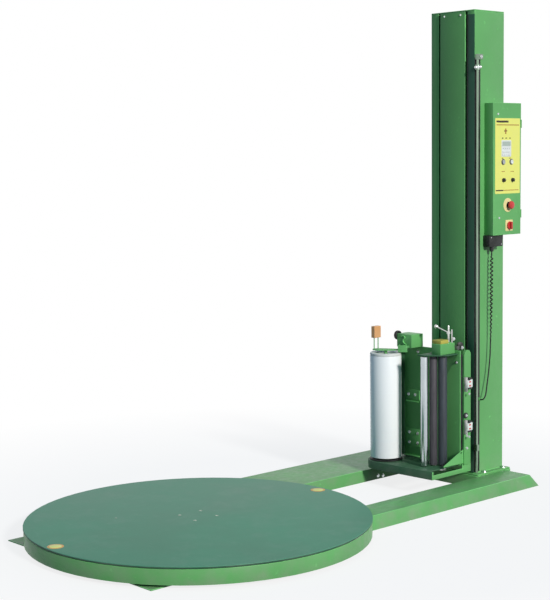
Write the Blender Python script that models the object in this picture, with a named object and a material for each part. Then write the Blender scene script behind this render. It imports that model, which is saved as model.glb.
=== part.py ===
"""Turntable pallet wrapper: a round turntable on two floor rails, a mast with a film carriage that
climbs it, and a control box on the mast's side.

Metres, +Z up. The origin is on the turntable's axis at floor level, and the mast stands towards +X.
Each object is one closed solid. A moving piece has its origin on its own joint's axis.
"""

import math

import bmesh
import bpy
from mathutils import Matrix, Vector

# --- Clearances -----------------------------------------------------------------------------
GAP = 0.0003  # between two pieces that touch
RUN = 0.0005  # between a shaft and its bore

# --- Rails ----------------------------------------------------------------------------------
RAIL_H = 0.061
RAIL_WALL = 0.004
RAIL_FRONT_X = -0.618
RAIL_BODY_X = -0.505  # the channels start here, inside the skirt
RAIL_TOE_T = 0.005  # the floor plate ahead of each channel
RAIL_END_X = 1.799
RAIL_END_SLOPE = 0.053
RAIL_BATTER = 0.0165  # how far the outer foot stands out past the top edge
NEAR_IN = -0.2896
NEAR_OUT = -0.4577
FAR_IN = 0.2080
FAR_OUT = 0.5440

# --- Turntable ------------------------------------------------------------------------------
DECK_R = 0.750
DECK_RISE = 0.031  # from the rails' top to the deck's top
DECK_TOP = RAIL_H + DECK_RISE
DECK_T = 0.008
HUB_R = 0.070
HUB_BORE_R = 0.030
SKIRT_R = DECK_R - 0.002
SKIRT_T = 0.003
SKIRT_BOTTOM = 0.018
SKIRT_REVEAL = 0.003  # dark line between the skirt and the deck
BASE_X = 0.250  # half length of the bearing base
BASE_T = 0.012
ROLLER_TRACK_R = 0.560
ROLLER_R = 0.020
ROLLER_W = 0.020
AXLE_R = 0.005
EAR_T = 0.008
RING_OUT_R = 0.482
RING_W = 0.014
PINION_R = 0.026
SPROCKET_R = 0.035
CHAIN_T = 0.005
CHAIN_H = 0.008
CHAIN_ARC = 24  # sides of a full turn of chain

# --- Mast -----------------------------------------------------------------------------------
MAST_X0 = 1.547
MAST_X1 = 1.770
MAST_Y0 = -0.2535
MAST_Y1 = 0.0180
MAST_H = 2.322
MAST_WALL = 0.003
CAP_T = 0.006
FOOT_T = 0.008
FOOT_FLANGE = 0.032
SLOT_W = 0.014
NEAR_SLOT_Y = -0.202
FAR_SLOT_Y = -0.036
COVER_PROUD = 0.006
CROSS_WALL = 0.006
CORD_SLOT_Z = (0.20, MAST_H - 0.252)
ROD_R = 0.006
ROD_LOW = RAIL_H + 0.014
ROD_TOP = MAST_H - 0.217

# --- Lift -----------------------------------------------------------------------------------
LIFT_CHAIN_X = 1.690
LIFT_CHAIN_Y = -0.119
LIFT_SPROCKET_R = 0.030
LIFT_LOW_Z = 0.330
LIFT_HIGH_Z = MAST_H - 0.082
GUIDE_R = 0.018
GUIDE_W = 0.018
ARM_T = 0.008

# --- Film carriage --------------------------------------------------------------------------
PLATE_X = 1.450
PLATE_T = 0.006
PLATE_Y0 = -0.246
PLATE_Y1 = 0.115
SHELF_Z = 0.124  # top of the carriage's shelf
SHELF_T = 0.006
GUARD_LOW = SHELF_Z - 0.039
GUARD_T = 0.005
GUARD_BAR_H = 0.022  # height of the bare bar on the near side
GUARD_Y0 = -0.248
SHELF_NEAR_Y = -0.222
ROLL_H = 0.510
CANOPY_Z = SHELF_Z + ROLL_H + 0.034  # underside of the roller canopy
CANOPY_T = 0.006
ARM_Z = CANOPY_Z + 0.004
PLATE_TOP = CANOPY_Z + 0.019
BAR_TOP = PLATE_TOP + 0.003
TROLLEY_LOW = SHELF_Z + 0.036
TROLLEY_HIGH = PLATE_TOP - 0.027
TONGUE_Z = TROLLEY_LOW + 0.290
COVER_TOP = CANOPY_Z + 0.058
LID_TOP = COVER_TOP + 0.018
BLOCK_TOP = ARM_Z + 0.080
LATCH_Z = BLOCK_TOP - 0.010
GATE_Z = COVER_TOP + 0.044  # top of the gate lever's post
LEVER_RISE = 0.029
BLOCK_X0 = 1.372
BLOCK_Y0 = -0.003
BLOCK_Y1 = 0.094
BAR_X0 = 1.468
BAR_X1 = 1.516
BAR_T = 0.012
GUSSET_REACH = 0.143
ROLL_X = 1.316
ROLL_Y = 0.119
ROLL_R = 0.078
GUARD_REACH = ROLL_R + 0.012  # from the roll's centre to the shelf's rounded edge
CORE_R = 0.042
CORE_BORE_R = 0.038
COVER_X0 = 1.346
COVER_Y0 = -0.213
COVER_Y1 = -0.155
CHROME_R = 0.018
SLOW_R = 0.020
FAST_R = 0.0216
CHROME_AT = (1.315, -0.135)
SLOW_AT = (1.362, -0.152)
FAST_AT = (1.390, -0.187)
SLOW_GEAR_R = 0.0260
GEAR_H = 0.010
ARM_PIVOT = (1.358, 0.060)
ARM_THICK = 0.006
ARM_REACH = 0.136

# --- Control box ----------------------------------------------------------------------------
BOX_X0 = 1.622
BOX_X1 = 1.838
BOX_Z0 = 1.240
BOX_Z1 = 1.880
BOX_D = 0.050
BOX_WALL = 0.002
DOOR_T = 0.004
JUNCTION_X = (1.583, 1.715)
JUNCTION_H = 0.055

MATERIALS = {}


# --- Materials ------------------------------------------------------------------------------
def material(name, colour, roughness=0.5, metallic=0.0):
    """One plain material for each kind of surface."""
    made = bpy.data.materials.new(name)
    made.use_nodes = True
    shader = made.node_tree.nodes["Principled BSDF"]
    shader.inputs["Base Color"].default_value = (*colour, 1.0)
    shader.inputs["Roughness"].default_value = roughness
    shader.inputs["Metallic"].default_value = metallic
    MATERIALS[name] = made


def make_materials():
    material("green_paint", (0.14, 0.42, 0.15), 0.45)
    material("deck_paint", (0.11, 0.27, 0.18), 0.35)
    material("steel", (0.62, 0.62, 0.60), 0.35, 1.0)
    material("dark_steel", (0.10, 0.10, 0.11), 0.5, 0.8)
    material("chrome", (0.80, 0.82, 0.84), 0.10, 1.0)
    material("rubber", (0.045, 0.045, 0.060), 0.7)
    material("black_plastic", (0.015, 0.015, 0.016), 0.45)
    material("white_film", (0.86, 0.88, 0.90), 0.25)
    material("cardboard", (0.50, 0.36, 0.22), 0.9)
    material("red_plastic", (0.62, 0.03, 0.03), 0.35)
    material("ochre_paint", (0.55, 0.40, 0.08), 0.5)
    material("orange_plastic", (0.70, 0.28, 0.10), 0.5)
    material("grey_plastic", (0.55, 0.56, 0.56), 0.5)
    material("motor_paint", (0.16, 0.19, 0.24), 0.5)


# --- Shape helpers --------------------------------------------------------------------------
def finish(mesh_maker, name, colour, origin=(0, 0, 0), smooth=None):
    """Turns a bmesh into a named object whose origin is at the given point."""
    bmesh.ops.recalc_face_normals(mesh_maker, faces=mesh_maker.faces)
    bmesh.ops.translate(mesh_maker, verts=mesh_maker.verts, vec=-Vector(origin))
    mesh = bpy.data.meshes.new(name)
    mesh_maker.to_mesh(mesh)
    mesh_maker.free()
    if smooth:
        mesh.shade_smooth()
        mesh.set_sharp_from_angle(angle=math.radians(smooth))
    if colour:
        mesh.materials.append(MATERIALS[colour])
    made = bpy.data.objects.new(name, mesh)
    made.location = origin
    bpy.context.scene.collection.objects.link(made)
    return made


def box(name, low, high, colour=None, origin=(0, 0, 0)):
    """An upright block between two corners."""
    shape = bmesh.new()
    bmesh.ops.create_cube(shape, size=1.0)
    low, high = Vector(low), Vector(high)
    size = high - low
    bmesh.ops.scale(shape, vec=size, verts=shape.verts)
    bmesh.ops.translate(shape, vec=(low + high) / 2, verts=shape.verts)
    return finish(shape, name, colour, origin)


def prism(name, outline, z0, z1, colour=None, origin=(0, 0, 0)):
    """A flat outline pulled up from z0 to z1."""
    shape = bmesh.new()
    face = shape.faces.new([shape.verts.new((x, y, z0)) for x, y in outline])
    grown = bmesh.ops.extrude_face_region(shape, geom=[face])
    top = [part for part in grown["geom"] if isinstance(part, bmesh.types.BMVert)]
    bmesh.ops.translate(shape, vec=(0, 0, z1 - z0), verts=top)
    return finish(shape, name, colour, origin)


def turn_to(axis):
    """The rotation that takes +Z to the given axis."""
    return Vector((0, 0, 1)).rotation_difference(Vector(axis).normalized()).to_matrix().to_4x4()


def turned(name, profile, at, axis=(0, 0, 1), colour=None, sides=20, smooth=40):
    """A (radius, height) profile turned about the axis through the given point.

    A profile that starts and ends on the axis is solid, and one that stays off it is a ring.
    """
    shape = bmesh.new()
    points = [shape.verts.new((r, 0, h)) for r, h in profile]
    edges = [shape.edges.new(pair) for pair in zip(points, points[1:])]
    if profile[0][0] > 0:
        edges.append(shape.edges.new((points[-1], points[0])))
    bmesh.ops.spin(shape, geom=points + edges, cent=(0, 0, 0), axis=(0, 0, 1), dvec=(0, 0, 0),
                   angle=math.tau, steps=sides, use_merge=True, use_duplicate=False)
    bmesh.ops.remove_doubles(shape, verts=shape.verts, dist=0.000005)
    bmesh.ops.transform(shape, matrix=Matrix.Translation(at) @ turn_to(axis), verts=shape.verts)
    return finish(shape, name, colour, at, smooth)


def disc(radius, low, high):
    """The profile of a plain cylinder."""
    return [(0, low), (radius, low), (radius, high), (0, high)]


def ring(inner, outer, low, high):
    """The profile of a plain ring."""
    return [(inner, low), (outer, low), (outer, high), (inner, high)]


def hide(cutter):
    cutter.hide_render = True
    cutter.display_type = "WIRE"
    return cutter


def combine(target, others, operation):
    for other in others:
        hide(other)
        change = target.modifiers.new(operation.lower(), "BOOLEAN")
        change.operation = operation
        change.object = other
    return target


def cut(target, *cutters):
    return combine(target, cutters, "DIFFERENCE")


def weld(target, *pieces):
    return combine(target, pieces, "UNION")


def soften(target, width=0.0015, segments=2, angle=50):
    """Rounds the folded edges of sheet metal and mouldings."""
    bevel = target.modifiers.new("soft_edges", "BEVEL")
    bevel.width = width
    bevel.segments = segments
    bevel.limit_method = "ANGLE"
    bevel.angle_limit = math.radians(angle)
    return target


def loop_band(name, low_end, high_end, radius, across, colour):
    """A chain as one smooth band round two equal sprockets, in the plane normal to the given axis."""
    low_end, high_end = Vector(low_end), Vector(high_end)
    along = (high_end - low_end).normalized()
    across = Vector(across)
    side = across.cross(along)
    shape = bmesh.new()
    rows = []
    for centre, start in ((high_end, 0.0), (low_end, math.pi)):
        for step in range(CHAIN_ARC // 2 + 1):
            angle = start + math.tau * step / CHAIN_ARC
            out = side * math.cos(angle) + along * math.sin(angle)
            corners = []
            for reach, shift in ((0, -0.5), (CHAIN_T, -0.5), (CHAIN_T, 0.5), (0, 0.5)):
                corners.append(centre + out * (radius + reach) + across * (CHAIN_H * shift))
            rows.append([shape.verts.new(corner) for corner in corners])
    for row, following in zip(rows, rows[1:] + rows[:1]):
        for i in range(4):
            j = (i + 1) % 4
            shape.faces.new((row[i], row[j], following[j], following[i]))
    return finish(shape, name, colour)


# --- Rails and cross box --------------------------------------------------------------------
def tapered_block(name, low, high, out_side, batter, end_slope, colour=None):
    """A block whose outer side leans in by the batter and whose +X end leans in by the slope."""
    shape = bmesh.new()
    bmesh.ops.create_cube(shape, size=1.0)
    size = Vector(high) - Vector(low)
    bmesh.ops.scale(shape, vec=size, verts=shape.verts)
    bmesh.ops.translate(shape, vec=(Vector(low) + Vector(high)) / 2, verts=shape.verts)
    middle_x = (low[0] + high[0]) / 2
    middle_y = (low[1] + high[1]) / 2
    middle_z = (low[2] + high[2]) / 2
    for vert in shape.verts:
        if vert.co.z < middle_z:
            continue
        if (vert.co.y - middle_y) * out_side > 0:
            vert.co.y -= batter * out_side
        if vert.co.x > middle_x:
            vert.co.x -= end_slope
        else:
            vert.co.x += batter
    return finish(shape, name, colour)


def roller_frames(angles):
    """For each support roller, its name, its place on the track and its radial direction."""
    height = DECK_TOP - DECK_T - GAP - ROLLER_R
    frames = []
    for name, angle in angles:
        out = Vector((math.cos(angle), math.sin(angle), 0))
        frames.append((name, out * ROLLER_TRACK_R + Vector((0, 0, height)), out))
    return frames


def support_rollers():
    """Two rollers on each rail carry the deck, at the same radius."""
    near = math.asin(-(NEAR_IN + NEAR_OUT) / 2 / ROLLER_TRACK_R)
    far = math.asin((FAR_IN + FAR_OUT) / 2 / ROLLER_TRACK_R + 0.14)
    return roller_frames([
        ("support_roller_near_front", math.pi + near), ("support_roller_near_rear", -near),
        ("support_roller_far_front", math.pi - far), ("support_roller_far_rear", far)])


def oriented_box(name, centre, along, half_along, half_across, z0, z1):
    """An upright block turned so that its length runs along a flat direction."""
    along = Vector(along)
    across = Vector((-along.y, along.x, 0))
    outline = []
    for a, b in ((-1, -1), (1, -1), (1, 1), (-1, 1)):
        corner = Vector(centre) + along * half_along * a + across * half_across * b
        outline.append((corner.x, corner.y))
    return prism(name, outline, z0, z1)


def roller_pocket(rail, name, at, out):
    """Cuts a roller's slot in a rail's top and welds its two axle ears beside it."""
    slot = oriented_box(name + "_slot", at, out, ROLLER_W / 2 + 0.001, ROLLER_R + 0.003,
                        RAIL_H - 2 * RAIL_WALL, RAIL_H + 0.02)
    cut(rail, slot)
    ear_top = at.z + AXLE_R + 0.004
    for side, label in ((-1, "_inner_ear"), (1, "_outer_ear")):
        centre = at + out * side * (ROLLER_W / 2 + 0.002 + EAR_T / 2)
        ear = oriented_box(name + label, centre, out, EAR_T / 2, 0.012,
                           RAIL_H - RAIL_WALL / 2, ear_top)
        weld(rail, ear)
    bore = turned(name + "_bore", disc(AXLE_R + RUN, -0.04, 0.04), at, out, sides=16)
    cut(rail, bore)


def rail(name, inner, outer):
    """An open-bottomed channel with a leaning outer side and ends, on a flat toe at the front."""
    side = 1 if outer > inner else -1
    low_y, high_y = min(inner, outer), max(inner, outer)
    body = tapered_block(name, (RAIL_BODY_X, low_y, 0), (RAIL_END_X, high_y, RAIL_H),
                         side, RAIL_BATTER, RAIL_END_SLOPE, "green_paint")
    wall = RAIL_WALL
    inside = tapered_block(name + "_inside", (RAIL_BODY_X + wall, low_y + wall, -0.01),
                           (RAIL_END_X - wall - 0.004, high_y - wall, RAIL_H - wall),
                           side, RAIL_BATTER, RAIL_END_SLOPE)
    cut(body, inside)
    toe = box(name + "_toe", (RAIL_FRONT_X, low_y, 0), (RAIL_BODY_X + wall / 2, high_y, RAIL_TOE_T))
    return weld(body, toe)


def base():
    """The two rails, the cross box under the mast, the bearing base and the skirt."""
    near = rail("near_rail", NEAR_IN, NEAR_OUT)
    far = rail("far_rail", FAR_IN, FAR_OUT)
    for name, at, out in support_rollers():
        roller_pocket(near if at.y < 0 else far, name, at, out)
    px, py = pinion_place()
    cut(far, turned("pinion_hole", disc(AXLE_R + 0.004, 0.04, 0.08), (px, py, 0), sides=24))
    window = box("chain_window", (counter_x() - SPROCKET_R - 0.02, FAR_IN - 0.01, -0.01),
                 (counter_x() + SPROCKET_R + 0.02, FAR_IN + 0.02, RAIL_H - 2 * RAIL_WALL))
    cut(far, window)
    cross_box()
    bearing_base()
    skirt()


def cross_box():
    """The channel between the rails that carries the mast and covers the cross chain."""
    low = (MAST_X0 - 0.012, NEAR_IN + GAP, 0)
    high = (MAST_X1 + 0.020, FAR_IN - GAP, RAIL_H)
    body = box("cross_box", low, high, "green_paint")
    wall = CROSS_WALL
    inside = box("cross_box_inside", (low[0] + wall, low[1] + wall, -0.01),
                 (high[0] - wall, high[1] + 0.01, RAIL_H - wall))
    shaft = turned("drive_shaft_hole", disc(AXLE_R + 0.003, RAIL_H - 0.02, RAIL_H + 0.01),
                   (counter_x(), drive_y(), 0), sides=24)
    return cut(body, inside, shaft)


def bearing_base():
    """The floor plate between the rails, with the fixed spindle that the deck turns on."""
    plate = box("bearing_base", (-BASE_X, NEAR_IN + GAP, 0), (BASE_X, FAR_IN - GAP, BASE_T),
                "dark_steel")
    top = DECK_TOP - DECK_T - 0.010
    post = turned("spindle", disc(HUB_BORE_R - RUN, BASE_T / 2, top), (0, 0, 0), sides=32)
    return weld(plate, post)


def skirt():
    """The fixed band under the deck's rim, notched over the rails that leave it."""
    top = DECK_TOP - DECK_T - SKIRT_REVEAL
    band = turned("skirt_ring", ring(SKIRT_R - SKIRT_T, SKIRT_R, SKIRT_BOTTOM, top), (0, 0, 0),
                  colour="green_paint", sides=72)
    for name, inner, outer in (("near", NEAR_IN, NEAR_OUT), ("far", FAR_IN, FAR_OUT)):
        side = 1 if outer > inner else -1
        low_y = min(inner, outer) - GAP
        high_y = max(inner, outer) + GAP
        notch = tapered_block(name + "_notch", (0.0, low_y, -0.01), (1.0, high_y, RAIL_H + GAP),
                              side, 0.0, 0.0)
        cut(band, notch)
    return band


# --- Turntable ------------------------------------------------------------------------------
def pinion_place():
    """The pinion stands on the far rail's centre line, just outside the drive ring."""
    reach = RING_OUT_R + PINION_R + RUN
    py = (FAR_IN + FAR_OUT) / 2
    return math.sqrt(reach * reach - py * py), py


def counter_x():
    return (MAST_X0 + MAST_X1) / 2


def drive_y():
    return (MAST_Y0 + MAST_Y1) / 2


def turntable():
    """The deck with its hub, and the drive ring under it."""
    under = DECK_TOP - DECK_T
    rim = 0.0015
    hub_low = BASE_T + 0.004
    blind = under - 0.005
    profile = [(0, blind), (HUB_BORE_R, blind), (HUB_BORE_R, hub_low), (HUB_R, hub_low),
               (HUB_R, under), (DECK_R, under), (DECK_R, DECK_TOP - rim),
               (DECK_R - rim, DECK_TOP), (0, DECK_TOP)]
    turned("deck", profile, (0, 0, 0), colour="deck_paint", sides=72, smooth=30)
    low = RAIL_H + 0.005
    turned("drive_ring", ring(RING_OUT_R - RING_W, RING_OUT_R, low, under - GAP), (0, 0, 0),
           colour="dark_steel", sides=48)
    for name, at, out in support_rollers():
        stub = ROLLER_W / 2 + 0.002 + EAR_T - 0.001
        half = ROLLER_W / 2
        turned(name, [(0, -stub), (AXLE_R, -stub), (AXLE_R, -half), (ROLLER_R, -half),
                      (ROLLER_R, half), (AXLE_R, half), (AXLE_R, stub), (0, stub)],
               at, out, "grey_plastic")


def turntable_drive():
    """A gearmotor in the mast's foot, a cross chain, a countershaft, a rail chain and a pinion."""
    px, py = pinion_place()
    cx, dy = counter_x(), drive_y()
    rail_z = 0.020
    cross_z = 0.042
    teeth = CHAIN_H * 0.4
    wheel = SPROCKET_R * math.cos(math.pi / CHAIN_ARC) - GAP
    under = DECK_TOP - DECK_T - GAP
    pinion_low = RAIL_H + 0.005
    turned("drive_pinion", [(0, 0.006), (AXLE_R, 0.006), (AXLE_R, rail_z - teeth),
                            (wheel, rail_z - teeth), (wheel, rail_z + teeth),
                            (AXLE_R, rail_z + teeth), (AXLE_R, pinion_low),
                            (PINION_R, pinion_low), (PINION_R, under - 0.002),
                            (0, under - 0.002)], (px, py, 0), colour="dark_steel")
    turned("countershaft", [(0, 0.006), (AXLE_R, 0.006), (AXLE_R, rail_z - teeth),
                            (wheel, rail_z - teeth), (wheel, rail_z + teeth),
                            (AXLE_R, rail_z + teeth), (AXLE_R, cross_z - teeth),
                            (wheel, cross_z - teeth), (wheel, cross_z + teeth),
                            (AXLE_R, cross_z + teeth), (AXLE_R, RAIL_H - RAIL_WALL - GAP),
                            (0, RAIL_H - RAIL_WALL - GAP)], (cx, py, 0),
           colour="dark_steel")
    motor_low = RAIL_H + FOOT_T + 2 * GAP
    turned("drive_sprocket", [(0, 0.030), (AXLE_R, 0.030), (AXLE_R, cross_z - teeth),
                              (wheel, cross_z - teeth), (wheel, cross_z + teeth),
                              (AXLE_R, cross_z + teeth), (AXLE_R, motor_low - GAP),
                              (0, motor_low - GAP)], (cx, dy, 0), colour="dark_steel")
    loop_band("rail_chain", (px, py, rail_z), (cx, py, rail_z), SPROCKET_R, (0, 0, 1), "steel")
    loop_band("cross_chain", (cx, dy, cross_z), (cx, py, cross_z), SPROCKET_R, (0, 0, 1), "steel")
    gearbox = box("drive_gearmotor", (cx - 0.045, dy - 0.050, motor_low),
                  (cx + 0.045, dy + 0.050, motor_low + 0.070), "motor_paint")
    can = turned("drive_motor_can", disc(0.042, motor_low + 0.06, motor_low + 0.150), (cx, dy, 0))
    weld(gearbox, can)


# --- Mast -----------------------------------------------------------------------------------
def mast():
    """An upright column open at the front, its welded foot, its top cap and its front cover."""
    low = RAIL_H + GAP
    top = MAST_H - CAP_T - GAP
    wall = MAST_WALL
    column = box("mast_column", (MAST_X0, MAST_Y0, low), (MAST_X1, MAST_Y1, top), "green_paint")
    inside = box("mast_inside", (MAST_X0 + wall, MAST_Y0 + wall, low + FOOT_T),
                 (MAST_X1 - wall, MAST_Y1 - wall, top + 0.05))
    mouth = box("mast_mouth", (MAST_X0 - 0.02, NEAR_SLOT_Y - SLOT_W / 2, low + FOOT_T),
                (MAST_X0 + 0.02, FAR_SLOT_Y + SLOT_W / 2, top + 0.05))
    cord_slot = box("cord_slot", (MAST_X0 + 0.014, MAST_Y0 - 0.02, CORD_SLOT_Z[0]),
                    (MAST_X0 + 0.024, MAST_Y0 + 0.02, CORD_SLOT_Z[1]))
    foot = box("mast_foot", (MAST_X0 - 0.010, MAST_Y0 - FOOT_FLANGE, low),
               (MAST_X1 + 0.020, MAST_Y1 + FOOT_FLANGE, low + FOOT_T))
    x, y, z = TAIL_ROUTE[-1]
    reach = MAST_Y0 + wall / 2 - y
    entry = turned("cord_entry", [(0, 0.0), (0.006, 0.0), (0.009, 0.006), (0.009, reach),
                                  (0, reach)],
                   (x, y + GAP, z), (0, 1, 0), sides=20)
    shaft = turned("foot_shaft_hole", disc(AXLE_R + 0.003, low - 0.01, low + 0.02),
                   (counter_x(), drive_y(), 0), sides=24)
    cut(column, inside, mouth, cord_slot)
    weld(column, foot, entry)
    cut(column, shaft)
    mast_cover(low + FOOT_T + GAP, top)
    mast_cap()


def mast_cover(low, top):
    """The folded front panel between the two slots, with returns that stiffen it."""
    y0 = NEAR_SLOT_Y + SLOT_W / 2
    y1 = FAR_SLOT_Y - SLOT_W / 2
    front = MAST_X0 - COVER_PROUD
    cover = box("mast_front_cover", (front, y0, low), (MAST_X0 + 0.022, y1, top), "green_paint")
    wall = 0.0025
    cut(cover, box("cover_inside", (front + wall, y0 + wall, low - 0.01),
                   (MAST_X0 + 0.05, y1 - wall, top + 0.01)))


def mast_cap():
    """The lid of the mast, with two ears that carry the upper lift sprocket."""
    cap = box("mast_cap", (MAST_X0, MAST_Y0, MAST_H - CAP_T), (MAST_X1, MAST_Y1, MAST_H),
              "green_paint")
    for side, label in ((-1, "near_ear"), (1, "far_ear")):
        y = LIFT_CHAIN_Y + side * 0.014
        weld(cap, box(label, (LIFT_CHAIN_X - 0.016, y - 0.004, LIFT_HIGH_Z - 0.014),
                      (LIFT_CHAIN_X + 0.016, y + 0.004, MAST_H - CAP_T / 2)))
    cut(cap, turned("ear_bore", disc(AXLE_R + RUN, -0.03, 0.03),
                    (LIFT_CHAIN_X, LIFT_CHAIN_Y, LIFT_HIGH_Z), (0, 1, 0), sides=16))


# --- Lift -----------------------------------------------------------------------------------
def lift():
    """A gearmotor, two sprockets and a chain inside the mast."""
    teeth = CHAIN_H * 0.4
    wheel = LIFT_SPROCKET_R * math.cos(math.pi / CHAIN_ARC) - GAP
    for name, z, reach in (("lift_drive_sprocket", LIFT_LOW_Z, 0.020),
                           ("lift_idler_sprocket", LIFT_HIGH_Z, 0.018)):
        profile = [(0, -reach), (AXLE_R, -reach), (AXLE_R, -teeth), (wheel, -teeth),
                   (wheel, teeth), (AXLE_R, teeth), (AXLE_R, 0.017), (0, 0.017)]
        turned(name, profile, (LIFT_CHAIN_X, LIFT_CHAIN_Y, z), (0, -1, 0), "dark_steel")
    loop_band("lift_chain", (LIFT_CHAIN_X, LIFT_CHAIN_Y, LIFT_LOW_Z),
              (LIFT_CHAIN_X, LIFT_CHAIN_Y, LIFT_HIGH_Z), LIFT_SPROCKET_R, (0, 1, 0), "steel")
    back = MAST_X1 - MAST_WALL - GAP
    y1 = LIFT_CHAIN_Y - 0.012
    motor = box("lift_gearmotor", (LIFT_CHAIN_X - 0.040, MAST_Y0 + MAST_WALL + 0.012,
                                   LIFT_LOW_Z - 0.045), (back, y1, LIFT_LOW_Z + 0.045),
                "motor_paint")
    can = turned("lift_motor_can", disc(0.036, LIFT_LOW_Z + 0.04, LIFT_LOW_Z + 0.150),
                 (LIFT_CHAIN_X + 0.012, (MAST_Y0 + y1) / 2, 0))
    socket = turned("lift_motor_socket", disc(AXLE_R + RUN, -0.012, 0.012),
                    (LIFT_CHAIN_X, y1, LIFT_LOW_Z), (0, 1, 0), sides=16)
    weld(motor, can)
    cut(motor, socket)


def guide_places():
    """For each guide roller, its name, its place and the side of its arm that it stands on."""
    x = MAST_X0 + MAST_WALL + GAP + GUIDE_R
    places = []
    for label, z in (("low", TROLLEY_LOW + 0.045), ("high", TROLLEY_HIGH - 0.045)):
        places.append(("guide_roller_near_" + label, (x, NEAR_SLOT_Y, z), -1))
        places.append(("guide_roller_far_" + label, (x, FAR_SLOT_Y, z), 1))
    return places


def trolley():
    """Two arms through the mast's slots, joined inside it, with the guide rollers' axles."""
    rear = MAST_X0 + MAST_WALL + 2 * GUIDE_R + 0.012
    front = PLATE_X + PLATE_T + GAP
    arms = []
    for label, y in (("near_arm", NEAR_SLOT_Y), ("far_arm", FAR_SLOT_Y)):
        arms.append(box(label, (front, y - ARM_T / 2, TROLLEY_LOW), (rear, y + ARM_T / 2, TROLLEY_HIGH)))
    web = box("trolley", (rear - 0.006, NEAR_SLOT_Y - ARM_T / 2 + 0.001, TROLLEY_LOW + 0.001),
              (rear + 0.0005, FAR_SLOT_Y + ARM_T / 2 - 0.001, TROLLEY_HIGH - 0.001), "dark_steel")
    tongue = box("chain_tongue", (rear - 0.003, LIFT_CHAIN_Y - 0.010, TONGUE_Z),
                 (LIFT_CHAIN_X - LIFT_SPROCKET_R - CHAIN_T - GAP, LIFT_CHAIN_Y + 0.010,
                  TONGUE_Z + 0.030))
    weld(web, *arms, tongue)
    for name, at, side in guide_places():
        cut(web, turned(name + "_bore", disc(AXLE_R + RUN, -0.02, 0.02), at, (0, 1, 0), sides=16))
        start = -ARM_T / 2 + 0.001
        face = ARM_T / 2 + 0.003
        turned(name, [(0, start), (AXLE_R, start), (AXLE_R, face), (GUIDE_R, face),
                      (GUIDE_R, face + GUIDE_W), (0, face + GUIDE_W)], at, (0, side, 0),
               "grey_plastic")


# --- Film carriage --------------------------------------------------------------------------
def guard_outline(inset=0.0):
    """The plan of the shelf and of the guard round it, with its far end rounded about the roll."""
    reach = GUARD_REACH - inset
    turns = [math.radians(15 * step) for step in range(7)]
    end = [(ROLL_X - reach * math.cos(turn), ROLL_Y + reach * math.sin(turn)) for turn in turns]
    return [(PLATE_X + 0.080, GUARD_Y0 + inset), (1.240 + inset, GUARD_Y0 - 0.002 + inset),
            *end, (PLATE_X + 0.010, ROLL_Y + reach)]


def plate_with_bores(plate, places, radius, z0, z1):
    for count, at in enumerate(places):
        cut(plate, turned(f"{plate.name}_bore_{count}", disc(radius, z0, z1), (*at, 0), sides=20))


def carriage():
    """The back plate with its canopy, the shelf with its guard, the side bar and the cover."""
    back = box("carriage_plate", (PLATE_X, PLATE_Y0, SHELF_Z + GAP),
               (PLATE_X + PLATE_T, PLATE_Y1, PLATE_TOP), "green_paint")
    weld(back, canopy())
    plate_with_bores(back, (SLOW_AT, FAST_AT, CHROME_AT), AXLE_R + RUN, CANOPY_Z - 0.01,
                     CANOPY_Z + 0.02)
    shelf = prism("carriage_shelf", guard_outline(), GUARD_LOW, SHELF_Z, "green_paint")
    opening = guard_outline(GUARD_T)
    opening[0] = (opening[0][0] + 0.05, opening[0][1])
    opening[-1] = (opening[-1][0] + 0.12, opening[-1][1])
    window = box("guard_window", (1.250, GUARD_Y0 - 0.02, GUARD_LOW + GUARD_BAR_H),
                 (PLATE_X + 0.015, SHELF_NEAR_Y, SHELF_Z + 0.01))
    cut(shelf, prism("guard_inside", opening, GUARD_LOW - 0.01, SHELF_Z - SHELF_T), window)
    plate_with_bores(shelf, (SLOW_AT, FAST_AT, CHROME_AT, (ROLL_X, ROLL_Y)), AXLE_R + RUN,
                     SHELF_Z - 0.02, SHELF_Z + 0.01)
    drive_cover()
    side_bar()


def canopy():
    """The shelf over the three rollers that carries their upper bearings."""
    rear = PLATE_X + PLATE_T / 2
    outline = [(rear, -0.232), (1.372, -0.232), (1.292, -0.160), (1.292, -0.112), (rear, -0.112)]
    return prism("roller_canopy", outline, CANOPY_Z, CANOPY_Z + CANOPY_T)


def drive_cover():
    """The cover on the canopy, its lid and the post that the gate lever turns on."""
    low = CANOPY_Z + CANOPY_T + GAP
    x0, y0, y1 = COVER_X0, COVER_Y0, COVER_Y1
    wall = 0.003
    cover = box("drive_cover", (x0, y0, low), (PLATE_X - GAP, y1, COVER_TOP), "green_paint")
    cut(cover, box("drive_cover_inside", (x0 + wall, y0 + wall, low - 0.01),
                   (PLATE_X - wall, y1 - wall, COVER_TOP - wall)))
    at = gate_place()
    shoulder = COVER_TOP + 0.004
    weld(cover, turned("gate_post", [(0, COVER_TOP - 0.001), (0.012, COVER_TOP - 0.001),
                                     (0.012, shoulder), (0.005, shoulder),
                                     (0.005, GATE_Z), (0, GATE_Z)], at, sides=20))
    soften(box("drive_cover_lid", (x0 + 0.002, y0 + 0.001, COVER_TOP + GAP),
               (x0 + 0.060, y1 - 0.001, LID_TOP), "ochre_paint"), 0.002)


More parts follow.
